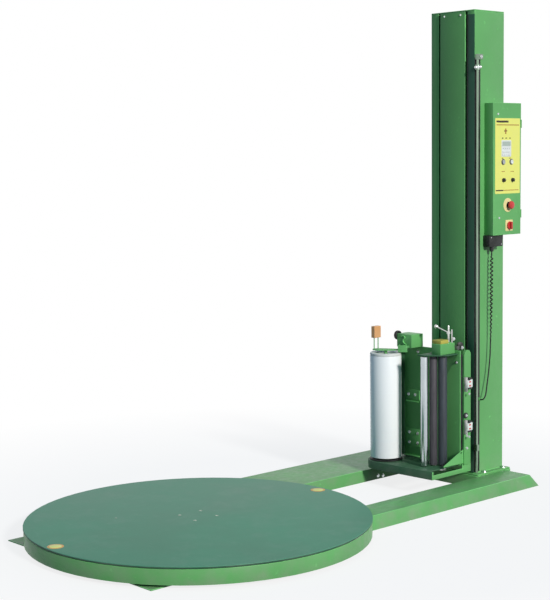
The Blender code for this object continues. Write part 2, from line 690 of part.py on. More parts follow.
def side_bar():
    """The upright flat bar on the near side, with the gusset that braces the shelf."""
    y1 = PLATE_Y0 - GAP
    half = (BAR_X1 - BAR_X0) / 2
    bar = box("side_bar", (BAR_X0, y1 - BAR_T, SHELF_Z + 0.001), (BAR_X1, y1, BAR_TOP - half),
              "green_paint")
    round_top = turned("bar_top", disc(half - 0.0001, 0, BAR_T),
                       (BAR_X0 + half, y1 - BAR_T, BAR_TOP - half), (0, 1, 0), sides=32)
    low, high = SHELF_Z + 0.009, SHELF_Z + 0.078
    gusset = box("side_gusset", (BAR_X0 - GUSSET_REACH, y1 - 0.004, low),
                 (BAR_X0 + 0.002, y1, high))
    for vert in gusset.data.vertices:
        if vert.co.x < BAR_X0 - GUSSET_REACH / 2 and vert.co.z > high - 0.001:
            vert.co.z = low + 0.006
    hole = turned("gusset_hole", disc(0.005, -0.02, 0.02), (BAR_X0 - 0.014, y1, high - 0.016),
                  (0, 1, 0), sides=20)
    cut(gusset, hole)
    foot = box("bar_foot", (PLATE_X + PLATE_T + GAP, y1 - 0.008, SHELF_Z + GAP),
               (BAR_X1 - 0.016, y1 + 0.006, SHELF_Z + 0.010))
    weld(bar, round_top, gusset, foot)
    for name, rise in (("limit_switch_high", 0.405), ("limit_switch_low", 0.194)):
        z = SHELF_Z + rise
        low_y = y1 - BAR_T - GAP
        switch = box(name, (BAR_X0 - 0.006, low_y - 0.026, z - 0.028),
                     (BAR_X1 - 0.016, low_y, z + 0.028), "grey_plastic")
        soften(switch, 0.002)


def film_roll():
    """The mandrel base, the cardboard core, the film and the top adapter turn together."""
    at = (ROLL_X, ROLL_Y, 0)
    low = SHELF_Z + 0.006
    flange = SHELF_Z + 0.002
    spigot = CORE_BORE_R - GAP
    turned("mandrel_base", [(0, SHELF_Z - 0.004), (AXLE_R, SHELF_Z - 0.004), (AXLE_R, flange),
                            (ROLL_R + 0.004, flange), (ROLL_R + 0.004, low), (spigot, low),
                            (spigot, low + 0.070), (spigot - 0.006, low + 0.076),
                            (0, low + 0.076)], at,
           colour="black_plastic", sides=32)
    core_low = low + GAP
    core_high = core_low + ROLL_H + 0.012
    turned("film_core", ring(CORE_BORE_R, CORE_R, core_low, core_high), at,
           colour="cardboard", sides=32)
    film_low = core_low + 0.008
    turned("film_roll", [(CORE_R + GAP, film_low), (ROLL_R, film_low),
                         (ROLL_R, film_low + ROLL_H), (CORE_R + GAP, film_low + ROLL_H)], at,
           colour="white_film", sides=32)
    top = core_high + GAP
    turned("top_adapter", [(0, top - 0.030), (spigot - 0.004, top - 0.030), (spigot, top - 0.024),
                           (spigot, top), (CORE_R + 0.006, top), (CORE_R + 0.006, top + 0.004),
                           (0.014, top + 0.004), (0.012, top - 0.006), (0, top - 0.006)], at,
           colour="grey_plastic", sides=32)
    return top + 0.004


def top_arm(adapter_top):
    """The hinged arm that holds the roll's top, with the two legs of the load sensor."""
    low = ARM_Z
    root = Vector((*ARM_PIVOT, 0))
    centre = Vector((ROLL_X, ROLL_Y, 0))
    along = (centre - root).normalized()
    across = Vector((-along.y, along.x, 0))
    pivot = root + Vector((0, 0, low + ARM_THICK / 2))
    outline = []
    for reach, width in ((-0.006, -0.010), (0.020, -0.014), (0.080, -0.026), (0.115, -0.024),
                         (ARM_REACH, -0.013), (ARM_REACH, 0.013), (0.115, 0.024), (0.080, 0.026),
                         (0.020, 0.014), (-0.006, 0.010)):
        point = root + along * reach + across * width
        outline.append((point.x, point.y))
    arm = prism("top_arm", outline, low, low + ARM_THICK, "green_paint", pivot)
    pin = turned("arm_pin", disc(0.008, adapter_top - 0.005, low + 0.001), centre, sides=20)
    barrel = turned("arm_barrel", [(0, -0.0235), (0.004, -0.0235), (0.004, -0.016),
                                   (0.006, -0.016), (0.006, 0.016), (0.004, 0.016),
                                   (0.004, 0.0235), (0, 0.0235)], pivot, across, sides=20)
    weld(arm, pin, barrel)
    foot_at = root + along * (ARM_REACH - 0.016)
    head_low = low + 0.062
    for label, offset in (("front_leg", -0.014), ("rear_leg", 0.014)):
        foot = foot_at + Vector((offset, 0, 0))
        weld(arm, turned(label, disc(0.0025, low + ARM_THICK - 0.001, head_low), foot, sides=12))
    sensor(foot_at, head_low + GAP)
    hinge_block(pivot, along, across)


def sensor(tip, low):
    """The load sensor's square head on the arm's two legs."""
    head = box("load_sensor", (tip.x - 0.023, tip.y - 0.012, low),
               (tip.x + 0.023, tip.y + 0.012, low + 0.058), "orange_plastic")
    soften(head, 0.002)


def hinge_block(pivot, along, across):
    """The block on the back plate whose two ears hold the arm's hinge, and its latch knob."""
    low = PLATE_TOP + GAP
    block = box("arm_hinge_block", (BLOCK_X0, BLOCK_Y0, low), (PLATE_X + PLATE_T, BLOCK_Y1, BLOCK_TOP),
                "green_paint")
    for label, side in (("near_hinge_ear", -1), ("far_hinge_ear", 1)):
        centre = pivot + across * side * 0.0205 - along * 0.014
        weld(block, oriented_box(label, centre, along, 0.023, 0.004, pivot.z - 0.009, low + 0.012))
    weld(block, oriented_box("hinge_bridge", pivot - along * 0.030, along, 0.018, 0.0235,
                             low + 0.002, low + 0.011))
    cut(block, turned("hinge_bore", disc(0.004 + RUN, -0.030, 0.030), pivot, across, sides=20))
    turned("latch_knob", [(0, 0), (0.022, 0), (0.023, 0.003), (0.023, 0.014), (0.019, 0.018),
                          (0, 0.018)], (BLOCK_X0 + 0.016, BLOCK_Y1 + GAP, LATCH_Z), (0, 1, 0),
           "black_plastic")


def turning_roller(name, at, radius, colour, gear=None):
    """A roller on stub axles between the shelf and the canopy, with a gear below the shelf."""
    low, high = SHELF_Z + 0.005, CANOPY_Z - 0.004
    bottom = SHELF_Z - SHELF_T - 0.002
    profile = [(0, bottom), (AXLE_R, bottom)]
    if gear:
        gear_top = SHELF_Z - SHELF_T - 0.004
        foot = gear_top - GEAR_H
        profile = [(0, foot), (gear, foot), (gear, gear_top), (AXLE_R, gear_top)]
    profile += [(AXLE_R, low), (radius - 0.001, low), (radius, low + 0.001),
                (radius, high - 0.001), (radius - 0.001, high), (AXLE_R, high),
                (AXLE_R, CANOPY_Z + CANOPY_T - 0.001), (0, CANOPY_Z + CANOPY_T - 0.001)]
    turned(name, profile, (*at, 0), colour=colour)


def rollers():
    """The chromed idler and the two geared rubber rollers that stretch the film."""
    apart = math.dist(SLOW_AT, FAST_AT)
    fast_gear_r = apart - SLOW_GEAR_R - RUN
    turning_roller("idler_roller", CHROME_AT, CHROME_R, "chrome")
    turning_roller("slow_roller", SLOW_AT, SLOW_R, "rubber", SLOW_GEAR_R)
    turning_roller("fast_roller", FAST_AT, FAST_R, "rubber", fast_gear_r)


def gate_place():
    return (1.424, -0.196, 0)


def film_gate():
    """The ball-ended lever that opens the film gate turns on the drive cover's post."""
    at = Vector(gate_place())
    end = Vector((at.x, at.y + 0.077, GATE_Z + LEVER_RISE))
    low = GATE_Z + GAP
    start = Vector((at.x, at.y, low + 0.006))
    lever = turned("gate_lever", disc(0.009, low, low + 0.012), at, colour="steel", sides=24)
    reach = end - start
    weld(lever, turned("lever_rod", disc(0.0028, 0, reach.length), start, reach, sides=10),
         turned("lever_ball", [(0, -0.011), (0.0055, -0.0095), (0.0095, -0.0055), (0.011, 0),
                               (0.0095, 0.0055), (0.0055, 0.0095), (0, 0.011)], end, sides=20))


# --- Control box ----------------------------------------------------------------------------
def box_front():
    return MAST_Y0 - GAP - BOX_D


def control_box():
    """A shallow box on the mast's side whose door carries the controls."""
    back = MAST_Y0 - GAP
    front = box_front()
    body = box("control_box", (BOX_X0, front, BOX_Z0), (BOX_X1, back, BOX_Z1), "green_paint")
    wall = BOX_WALL
    cut(body, box("control_box_inside", (BOX_X0 + wall, front - 0.01, BOX_Z0 + wall),
                  (BOX_X1 - wall, back - wall, BOX_Z1 - wall)))
    hinge = Vector((BOX_X1, front - GAP - DOOR_T, 0))
    door = box("control_door", (BOX_X0, front - GAP - DOOR_T, BOX_Z0),
               (BOX_X1, front - GAP, BOX_Z1), "green_paint", hinge)
    soften(door, 0.001)
    for label, z in (("low_knuckle", BOX_Z0 + 0.08), ("high_knuckle", BOX_Z1 - 0.12)):
        weld(door, turned(label, disc(DOOR_T - 0.0002, z, z + 0.04), hinge, sides=16))
    for name, x, z, radius in control_holes():
        cut(door, turned(name + "_hole", disc(radius + RUN, -0.05, 0.05), (x, front, z),
                         (0, 1, 0), sides=20))
    return front - GAP - DOOR_T


def control_holes():
    """Name, x, z and stem radius of each control that passes through the door."""
    return [("start_button", 1.698, 1.595, 0.008), ("stop_button", 1.761, 1.595, 0.008),
            ("mode_knob", 1.699, 1.507, 0.006), ("speed_knob", 1.769, 1.507, 0.006),
            ("emergency_stop", 1.741, 1.385, 0.011), ("main_switch", 1.747, 1.285, 0.008)]


def controls(face):
    """The buttons, knobs and switches, each with a stem through the door."""
    shapes = {
        "start_button": ([(0.011, 0.0035), (0.011, 0.0075)], "grey_plastic"),
        "stop_button": ([(0.011, 0.0035), (0.011, 0.0075)], "black_plastic"),
        "mode_knob": ([(0.010, 0.001), (0.010, 0.012), (0.008, 0.014)], "black_plastic"),
        "speed_knob": ([(0.010, 0.001), (0.010, 0.012), (0.008, 0.014)], "black_plastic"),
        "emergency_stop": ([(0.013, 0.0075), (0.020, 0.012), (0.020, 0.018), (0.015, 0.024),
                            (0.008, 0.0265)], "red_plastic"),
        "main_switch": ([(0.020, 0.001), (0.020, 0.006), (0.012, 0.008), (0.012, 0.020)],
                        "red_plastic"),
    }
    for name, x, z, stem in control_holes():
        head, colour = shapes[name]
        first = head[0][1]
        profile = [(0, -0.016), (stem, -0.016), (stem, first)] + head + [(0, head[-1][1])]
        turned(name, profile, (x, face, z), (0, -1, 0), colour)


def junction_box():
    """The black box under the control box, with the gland that the cord hangs from."""
    back = MAST_Y0 - GAP
    x0, x1 = JUNCTION_X
    high = BOX_Z0 - GAP
    low = high - JUNCTION_H
    body = box("junction_box", (x0, back - 0.042, low), (x1, back, high), "black_plastic")
    soften(body, 0.002)
    x, y = CORD_ROUTE[0][:2]
    tip = CORD_ROUTE[0][2] + GAP
    weld(body, turned("gland", [(0, low + 0.002), (0.011, low + 0.002), (0.011, low - 0.008),
                                (0.0085, tip), (0, tip)], (x, y, 0), sides=20))


# The coiled stretch hangs from the gland, and the plain tail runs to the entry on the mast.
CORD_R = 0.0085
CORD_ROUTE = [
    (1.650, -0.2780, 1.1600), (1.6495, -0.2780, 1.0600), (1.6480, -0.2780, 0.9600),
    (1.6470, -0.2780, 0.8600), (1.6450, -0.2780, 0.7600), (1.6410, -0.2780, 0.6700),
]
TAIL_R = 0.0035
TAIL_ROUTE = [
    (1.6409, -0.2780, 0.6697), (1.6390, -0.2780, 0.6400), (1.6340, -0.2780, 0.6000),
    (1.6270, -0.2785, 0.5600), (1.6170, -0.2800, 0.5200), (1.6070, -0.2835, 0.4900),
    (1.5970, -0.2885, 0.4650), (1.5885, -0.2895, 0.4480), (1.5830, -0.2840, 0.4390),
    (1.5805, -0.2760, 0.4362), (1.5800, -0.2658, 0.4360),
]


def smooth_route(points, spacing):
    """Points at an even spacing along a Catmull-Rom curve through the route."""
    points = [Vector(point) for point in points]
    ends = [points[0] * 2 - points[1]] + points + [points[-1] * 2 - points[-2]]
    fine = []
    for i in range(1, len(ends) - 2):
        a, b, c, d = ends[i - 1:i + 3]
        for step in range(12):
            t = step / 12
            fine.append(0.5 * (2 * b + (c - a) * t + (2 * a - 5 * b + 4 * c - d) * t * t
                               + (3 * b - a - 3 * c + d) * t ** 3))
    fine.append(points[-1])
    kept = [fine[0]]
    for point in fine[1:-1]:
        if (point - kept[-1]).length >= spacing and (point - fine[-1]).length > spacing / 2:
            kept.append(point)
    return kept + [fine[-1]]


def tube(name, route, radius, colour, spacing):
    curve = bpy.data.curves.new(name, "CURVE")
    curve.dimensions = "3D"
    curve.bevel_depth = radius
    curve.bevel_resolution = 2
    curve.use_fill_caps = True
    points = smooth_route(route, spacing)
    spline = curve.splines.new("POLY")
    spline.points.add(len(points) - 1)
    for slot, point in zip(spline.points, points):
        slot.co = (*point, 1.0)
    made = bpy.data.objects.new(name, curve)
    made.data.materials.append(MATERIALS[colour])
    bpy.context.scene.collection.objects.link(made)
    return made


def control_cord():
    """The coiled cord as one fat tube, and its plain tail."""
    tube("coiled_cord", CORD_ROUTE, CORD_R, "black_plastic", 0.024)
    tube("cord_tail", TAIL_ROUTE, TAIL_R, "black_plastic", 0.012)


def guide_rod():
    """The bright rod beside the mast's front corner, welded to its two brackets."""
    x, y = MAST_X0 + 0.007, MAST_Y0 - 0.012
    rod = turned("cord_guide_rod", disc(ROD_R, ROD_LOW, ROD_TOP), (x, y, 0), colour="chrome",
                 sides=20)
    weld(rod, box("rod_top_bracket", (x - 0.005, y - 0.010, ROD_TOP - 0.020),
                  (x + 0.030, MAST_Y0 - GAP, ROD_TOP + 0.005)),
         box("rod_low_bracket", (x - 0.010, y - 0.010, 0.185), (x + 0.008, MAST_Y0 - GAP, 0.215)),
         turned("rod_collar", disc(0.011, ROD_TOP - 0.070, ROD_TOP - 0.045), (x, y, 0), sides=20))


def clear_scene():
    for old in list(bpy.data.objects):
        bpy.data.objects.remove(old, do_unlink=True)


def build():
    clear_scene()
    make_materials()
    base()
    turntable()
    turntable_drive()
    mast()
    lift()
    trolley()
    carriage()
    adapter_top = film_roll()
    top_arm(adapter_top)
    rollers()
    film_gate()
    controls(control_box())
    junction_box()
    control_cord()
    guide_rod()


build()
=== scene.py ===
# %% [markdown]
# # Finishing a turntable pallet wrapper
# The construction model is loaded first and never moved. Each sheet-metal solid gets a copy with
# eased edges, because a folded panel always catches a thin line of light on its bends. Small
# fittings, the film, the cord and every surface finish are then made around it.
# %% Load the construction model
import math

import bmesh
import bpy
from mathutils import Matrix, Vector


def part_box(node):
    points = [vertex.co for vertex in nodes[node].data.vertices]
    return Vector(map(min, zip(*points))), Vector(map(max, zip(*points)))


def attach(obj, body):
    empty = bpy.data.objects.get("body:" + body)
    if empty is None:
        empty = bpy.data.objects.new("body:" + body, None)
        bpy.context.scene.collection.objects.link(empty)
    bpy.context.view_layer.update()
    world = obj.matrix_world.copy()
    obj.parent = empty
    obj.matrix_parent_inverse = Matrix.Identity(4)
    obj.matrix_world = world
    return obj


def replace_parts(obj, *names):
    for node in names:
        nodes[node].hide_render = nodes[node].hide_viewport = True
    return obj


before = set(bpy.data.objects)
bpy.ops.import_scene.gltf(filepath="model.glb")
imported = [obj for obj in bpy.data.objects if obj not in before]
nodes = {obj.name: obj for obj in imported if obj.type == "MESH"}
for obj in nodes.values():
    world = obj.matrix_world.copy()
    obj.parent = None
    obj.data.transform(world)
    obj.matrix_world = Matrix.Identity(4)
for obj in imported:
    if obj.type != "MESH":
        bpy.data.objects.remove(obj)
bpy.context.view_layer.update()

# %% [markdown]
# ## The camera
# The camera stands low and far off, at the turntable's front left. Its long lens keeps the mast's
# uprights almost parallel, as a catalogue picture does.
# %% Camera
CAMERA_AT = Vector((-3.8148, -4.6362, 1.639))
CAMERA_YAW = 0.8256  # radians, from +X towards +Y
CAMERA_PITCH = 0.1015  # downwards
CAMERA_ROLL = -0.0123
CAMERA_LENS, SENSOR_WIDTH = 85.04, 36  # mm, for the long side of the picture


def make_camera():
    ahead = Vector((math.cos(CAMERA_YAW) * math.cos(CAMERA_PITCH),
                    math.sin(CAMERA_YAW) * math.cos(CAMERA_PITCH), -math.sin(CAMERA_PITCH)))
    right = Vector((math.sin(CAMERA_YAW), -math.cos(CAMERA_YAW), 0))
    up = right.cross(ahead)
    turned_right = right * math.cos(CAMERA_ROLL) + up * math.sin(CAMERA_ROLL)
    turned_up = up * math.cos(CAMERA_ROLL) - right * math.sin(CAMERA_ROLL)
    data = bpy.data.cameras.new("camera")
    data.lens = CAMERA_LENS
    data.sensor_width = SENSOR_WIDTH
    data.clip_end = 100
    camera = bpy.data.objects.new("camera", data)
    bpy.context.scene.collection.objects.link(camera)
    pose = Matrix((turned_right, turned_up, -ahead)).transposed().to_4x4()
    pose.translation = CAMERA_AT
    camera.matrix_world = pose
    bpy.context.scene.camera = camera


make_camera()
bpy.context.scene.view_settings.view_transform = "Standard"

# %% [markdown]
# ## Node helpers
# A finish is a tree of nodes. A few helpers keep each tree short: one makes a node and joins what
# is handed to it, and the others each stand for one kind of node.
# %% Node helpers


def finish(name, roughness, metallic=0.0, **sockets):
    """A new material with its plain values set on the shader itself."""
    made = bpy.data.materials.new(name)
    made.use_nodes = True
    shader = made.node_tree.nodes["Principled BSDF"]
    shader.inputs["Roughness"].default_value = roughness
    shader.inputs["Metallic"].default_value = metallic
    for socket, value in sockets.items():
        shader.inputs[socket.replace("_", " ")].default_value = value
    return made


def node(made, kind, inputs, **settings):
    """A shader node. An input is a value, or another node's output."""
    new = made.node_tree.nodes.new("ShaderNode" + kind)
    for key, value in settings.items():
        setattr(new, key, value)
    for key, value in inputs.items():
        if isinstance(value, bpy.types.NodeSocket):
            made.node_tree.links.new(value, new.inputs[key])
        else:
            new.inputs[key].default_value = value
    return new


def feed(made, socket, output):
    """Joins an output to one of the shader's own sockets."""
    made.node_tree.links.new(output, made.node_tree.nodes["Principled BSDF"].inputs[socket])


def place(made, scale=(1, 1, 1), at=(0, 0, 0)):
    """Object coordinates, centred on a point and stretched."""
    coordinates = node(made, "TexCoord", {}).outputs["Object"]
    moved = node(made, "VectorMath", {0: coordinates, 1: at}, operation="SUBTRACT")
    return node(made, "VectorMath", {0: moved.outputs[0], 1: scale},
                operation="MULTIPLY").outputs[0]


def noise(made, where, scale, detail=4.0, roughness=0.55, distortion=0.0):
    return node(made, "TexNoise", {"Vector": where, "Scale": scale, "Detail": detail,
                                   "Roughness": roughness, "Distortion": distortion}).outputs[0]


def between(made, value, low, high, out_low=0.0, out_high=1.0):
    """Stretches the part of a value that lies between two levels."""
    return node(made, "MapRange", {"Value": value, "From Min": low, "From Max": high,
                                   "To Min": out_low, "To Max": out_high}).outputs[0]


def times(made, a, b, operation="MULTIPLY"):
    return node(made, "Math", {0: a, 1: b}, operation=operation, use_clamp=True).outputs[0]


def blend(made, mask, a, b):
    """Colour a where the mask is 0, colour b where it is 1."""
    a = (*a, 1) if isinstance(a, tuple) else a
    b = (*b, 1) if isinstance(b, tuple) else b
    return node(made, "Mix", {"Factor": mask, 6: a, 7: b}, data_type="RGBA").outputs[2]


def bump(made, height, distance, strength=1.0):
    new = node(made, "Bump", {"Height": height, "Distance": distance, "Strength": strength})
    feed(made, "Normal", new.outputs[0])


def shade(colour, by):
    return tuple(min(1.0, channel * by) for channel in colour)


def mottled(made, mask, colour, dark, pale):
    """One colour, darker where the mask is 0 and paler where it is 1."""
    return blend(made, mask, shade(colour, dark), shade(colour, pale))


print("node helpers ready")
# %% [markdown]
# ## The stage
# A plain pale floor takes the machine's soft shadow. One sun-like lamp stands low on the near
# side, so that the near faces are bright and the mast's front stays in shade, and a cool sky fills
# the rest. The floor shows white to the camera, and greyer to the light that it throws back up,
# because a white floor would wash out the shaded sides.
# %% Stage
SUN_FROM = Vector((-0.13, -0.905, 0.405)).normalized()
SUN_POWER = 2.75
SKY = (0.42, 0.7, 1.0)
SKY_POWER = 0.34
FLOOR_SEEN = (0.94, 0.94, 0.94)
FLOOR_BOUNCE = (0.2, 0.22, 0.23)
WHITE_NEAR = 0.82  # the share of plain white beside the machine
WHITE_REACH = (1.3, 2.9)  # metres from the deck's axis, over which it grows to all of it


def seen_directly(made):
    """1 for the camera, for mirrors and through clear pieces, 0 for the light on a piece."""
    path = node(made, "LightPath", {})
    seen = times(made, path.outputs["Is Camera Ray"], path.outputs["Is Glossy Ray"], "ADD")
    return times(made, seen, path.outputs["Is Transmission Ray"], "ADD")


def make_floor():
    bpy.ops.object.select_all(action="DESELECT")
    bpy.ops.mesh.primitive_circle_add(vertices=64, radius=40, fill_type="NGON",
                                      location=(0.6, -0.1, -0.001))
    floor = bpy.context.object
    floor.name = "floor"
    made = bpy.data.materials.new("floor_white")
    made.use_nodes = True
    tree = made.node_tree
    tree.nodes.remove(tree.nodes["Principled BSDF"])
    seen = seen_directly(made)
    lit = node(made, "BsdfDiffuse", {"Color": blend(made, seen, FLOOR_BOUNCE, FLOOR_SEEN)})
    white = node(made, "Emission", {"Color": (1, 1, 1, 1), "Strength": 1.0})
    out_from = node(made, "VectorMath", {0: place(made)}, operation="LENGTH").outputs["Value"]
    share = times(made, between(made, out_from, *WHITE_REACH, WHITE_NEAR, 1.0), seen)
    both = node(made, "MixShader", {0: share, 1: lit.outputs[0], 2: white.outputs[0]})
    tree.links.new(both.outputs[0], tree.nodes["Material Output"].inputs["Surface"])
    floor.data.materials.append(made)


def make_light():
    lamp = bpy.data.lights.new("sun", "SUN")
    lamp.energy = SUN_POWER
    lamp.angle = 0.12
    lamp.color = (1.0, 0.985, 0.95)
    sun = bpy.data.objects.new("sun", lamp)
    sun.rotation_euler = SUN_FROM.to_track_quat("Z", "Y").to_euler()
    bpy.context.scene.collection.objects.link(sun)
    world = bpy.data.worlds.new("studio")
    bpy.context.scene.world = world
    world.use_nodes = True
    seen = seen_directly(world)
    tint = blend(world, seen, SKY, (1.0, 1.0, 1.0))
    power = between(world, seen, 0, 1, SKY_POWER, 1.0)
    background = world.node_tree.nodes["Background"]
    world.node_tree.links.new(tint, background.inputs["Color"])
    world.node_tree.links.new(power, background.inputs["Strength"])


make_floor()
make_light()
print("stage ready")

# %% [markdown]
# ## Paints and metals
# Powder coat is one colour that never looks like one colour: it is a little uneven, has a fine
# orange-peel skin, gathers dust low down, and is scuffed pale where hands, pallets and trucks
# touch it. Each paint therefore starts from its colour and blends in those changes by noise masks.
# Bends get a second finish, in which the coat is thin and paler, the paler colour partly a
# painted highlight along the bend.
# %% Painted finishes
GREEN = (0.138, 0.415, 0.132)
DECK_GREEN = (0.098, 0.3, 0.185)
DUST = (0.33, 0.33, 0.27)
PRIMER = (0.42, 0.43, 0.41)


def painted(name, colour, roughness=0.38, scuffs=0.62, worn=None, patch=None):
    """Powder coat. patch is a place (x, y, z, radius) that is rubbed pale."""
    worn = worn or shade(colour, 1.75)
    made = finish(name, roughness, Specular_IOR_Level=0.22)
    where = place(made)
    cloud = noise(made, where, 2.3, 3)
    colour_now = mottled(made, between(made, cloud, 0.3, 0.7), colour, 0.9, 1.1)
    specks = noise(made, where, 38, 8, 0.7)
    scuff = between(made, specks, scuffs, scuffs + 0.1, 0, 0.55)
    if patch:
        near = node(made, "VectorMath", {0: place(made, (1, 2.4, 1), patch[:3])},
                    operation="LENGTH").outputs["Value"]
        rubbed = between(made, near, patch[3], 0.0, 0, 0.75)
        streaks = noise(made, place(made, (2, 30, 1)), 6, 5)
        rubbed = times(made, rubbed, between(made, streaks, 0.3, 0.62))
        scuff = times(made, scuff, rubbed, "ADD")
    colour_now = blend(made, scuff, colour_now, worn)
    height = node(made, "SeparateXYZ", {0: where}).outputs["Z"]
    dust = times(made, between(made, height, 0.16, 0.0, 0, 0.45),
                 between(made, noise(made, where, 11, 6), 0.38, 0.66))
    colour_now = blend(made, dust, colour_now, DUST)
    feed(made, "Base Color", colour_now)
    feed(made, "Roughness", between(made, specks, 0.3, 0.75, roughness - 0.07, roughness + 0.16))
    bump(made, noise(made, where, 420, 2), 0.0004, 0.22)
    return made


def worn_and_highlit_bend(name, colour):
    """The coat on a bend: thinner, with chips down to the grey primer, and paler as a painted
    highlight.
    """
    made = finish(name, 0.38, Specular_IOR_Level=0.35)
    where = place(made)
    chips = noise(made, where, 55, 6, 0.65)
    # paler than the green: partly a thin coat, partly a painted highlight along the bend
    thin = mottled(made, between(made, noise(made, where, 9, 4), 0.35, 0.65), colour, 1.25, 1.9)
    feed(made, "Base Color", blend(made, between(made, chips, 0.64, 0.69), thin, PRIMER))
    bump(made, chips, 0.0006, 0.4)
    return made


def deck_paint():
    """The deck's coat: satin, dulled in rings and arcs where pallets are set down and turned."""
    made = finish("deck_paint", 0.45, Specular_IOR_Level=0.14)
    where = place(made)
    cloud = noise(made, where, 1.7, 5, 0.6)
    base = mottled(made, between(made, cloud, 0.32, 0.7), DECK_GREEN, 0.88, 1.12)
    rubs = noise(made, place(made, at=(0.1, 0.2, 0)), 7, 9, 0.72)
    dull = times(made, between(made, rubs, 0.5, 0.74), 0.36)
    base = blend(made, dull, base, (0.2, 0.34, 0.25))
    lines = noise(made, place(made, (1.0, 36, 1)), 8, 6, 0.6, 0.4)
    cross = noise(made, place(made, (30, 1.2, 1)), 7, 6, 0.6, 0.5)
    scratch = times(made, between(made, lines, 0.66, 0.71, 0, 0.5),
                    between(made, cross, 0.67, 0.72, 0, 0.5), "ADD")
    base = blend(made, scratch, base, (0.3, 0.42, 0.33))
    feed(made, "Base Color", base)
    feed(made, "Roughness", between(made, cloud, 0.2, 0.8, 0.4, 0.56))
    bump(made, noise(made, where, 380, 2), 0.0004, 0.2)
    return made


green = painted("green_coat", GREEN)
bend_wear_and_highlight = worn_and_highlit_bend("green_bends_worn_and_painted_highlight", GREEN)
rail_green = painted("rail_coat", GREEN, patch=(0.9, -0.335, 0.061, 0.3))
# Painted shade: a darker green for the mast's front cover, the carriage plate and its pads.
painted_shade_green = painted("mast_front_painted_shade", shade(GREEN, 0.86), 0.42)
deck_green = deck_paint()
# Painted shade: a near-black green for the deck's side and the band in the gap under it.
rim_painted_shade = painted("deck_rim_painted_shade", (0.02, 0.08, 0.042), 0.5)
ochre = painted("ochre_coat", (0.52, 0.46, 0.09), 0.45, 0.6, (0.7, 0.62, 0.24))
# Painted shade: a near-black green for the mast's near strip and the front cover's bends.
strip_painted_shade = painted("mast_strip_painted_shade", (0.028, 0.105, 0.06), 0.45)
# Painted shadow for the canopy's edge, the shelf's floor and the plate's folded return.
shadow_coat = painted("painted_shadow_coat", (0.04, 0.12, 0.06), 0.5)
motor_coat = painted("motor_enamel", (0.1, 0.13, 0.18), 0.45, 0.66)
print("painted finishes", len(bpy.data.materials))
# %% [markdown]
# ## Bare metals, rubber, plastics and film
# Zinc plate is mottled, turned steel has fine rings, a polished roller shows long scratches from
# the film, and a rubber covering is dull with a bluish bloom. Each is the same few nodes at other
# scales.
# %% Metals, rubber and plastics


def metal(name, colour, roughness, spread=0.14, scale=30, stretch=(1, 1, 1), stain=None):
    made = finish(name, roughness, 1.0)
    where = place(made, stretch)
    mottle = noise(made, where, scale, 6, 0.6)
    base = mottled(made, between(made, mottle, 0.32, 0.68), colour, 0.82, 1.12)
    if stain:
        spots = between(made, noise(made, place(made), 14, 7, 0.7), 0.58, 0.7, 0, 0.8)
        base = blend(made, spots, base, stain)
    feed(made, "Base Color", base)
    feed(made, "Roughness", between(made, mottle, 0.3, 0.7, max(0.03, roughness - spread / 2),
                                    roughness + spread))
    bump(made, mottle, 0.0003, 0.25)
    return made


def moulded(name, colour, roughness, grain=600, bloom=0.12, coat=0.0):
    """Plastic or rubber: a moulded grain, rubbed spots and a little dust."""
    made = finish(name, roughness, Coat_Weight=coat, Coat_Roughness=0.2, Specular_IOR_Level=0.3)
    where = place(made)
    worn = between(made, noise(made, where, 24, 6, 0.65), 0.42, 0.72)
    rubbed = tuple(channel + (0.5 - channel) * bloom for channel in colour)
    feed(made, "Base Color", blend(made, worn, colour, rubbed))
    feed(made, "Roughness", between(made, worn, 0, 1, roughness - 0.05, roughness + 0.14))
    bump(made, noise(made, where, grain, 2), 0.0004, 0.35)
    return made


def rubber_sleeve(name, colour):
    """A ground rubber covering with faint lengthwise film marks and rings from grinding."""
    made = finish(name, 0.52, Sheen_Weight=0.25, Sheen_Roughness=0.4)
    where = place(made)
    marks = noise(made, place(made, (1, 1, 0.1)), 120, 5, 0.6)
    feed(made, "Base Color", mottled(made, between(made, marks, 0.35, 0.7), colour, 0.75, 1.45))
    feed(made, "Roughness", between(made, noise(made, where, 20, 5), 0.3, 0.7, 0.42, 0.66))
    bump(made, noise(made, place(made, (0.15, 0.15, 1)), 900, 2), 0.0003, 0.35)
    return made


def wound_film():
    """Stretch film on the roll: near white, glossy, with wound bands and a cool depth."""
    made = finish("wound_film", 0.24, Coat_Weight=0.12, Coat_Roughness=0.1,
                  Specular_IOR_Level=0.2)
    where = place(made)
    bands = noise(made, place(made, (0.02, 0.02, 1)), 55, 6, 0.7)
    soft = noise(made, where, 4, 3)
    base = blend(made, between(made, soft, 0.3, 0.7), (0.985, 0.985, 0.985), (0.995, 0.995, 0.99))
    base = blend(made, between(made, bands, 0.52, 0.72, 0, 0.3), base, (0.9, 0.93, 0.95))
    feed(made, "Base Color", base)
    feed(made, "Roughness", between(made, bands, 0.3, 0.7, 0.16, 0.34))
    bump(made, bands, 0.0006, 0.5)
    return made


def cardboard():
    """A wound paper core: brown fibre with the slanting seams of its plies."""
    made = finish("wound_board", 0.85)
    fibre = noise(made, place(made, (1, 1, 4)), 180, 6, 0.7)
    plies = {"Vector": place(made, (1, 1, 2.2)), "Scale": 9, "Distortion": 0.4}
    seam = node(made, "TexWave", plies, wave_type="BANDS", bands_direction="DIAGONAL").outputs[1]
    base = blend(made, between(made, fibre, 0.3, 0.7), (0.4, 0.27, 0.15), (0.6, 0.45, 0.29))
    feed(made, "Base Color", blend(made, between(made, seam, 0.9, 0.98), base,
                                   (0.26, 0.17, 0.09)))
    bump(made, fibre, 0.0003, 0.3)
    return made


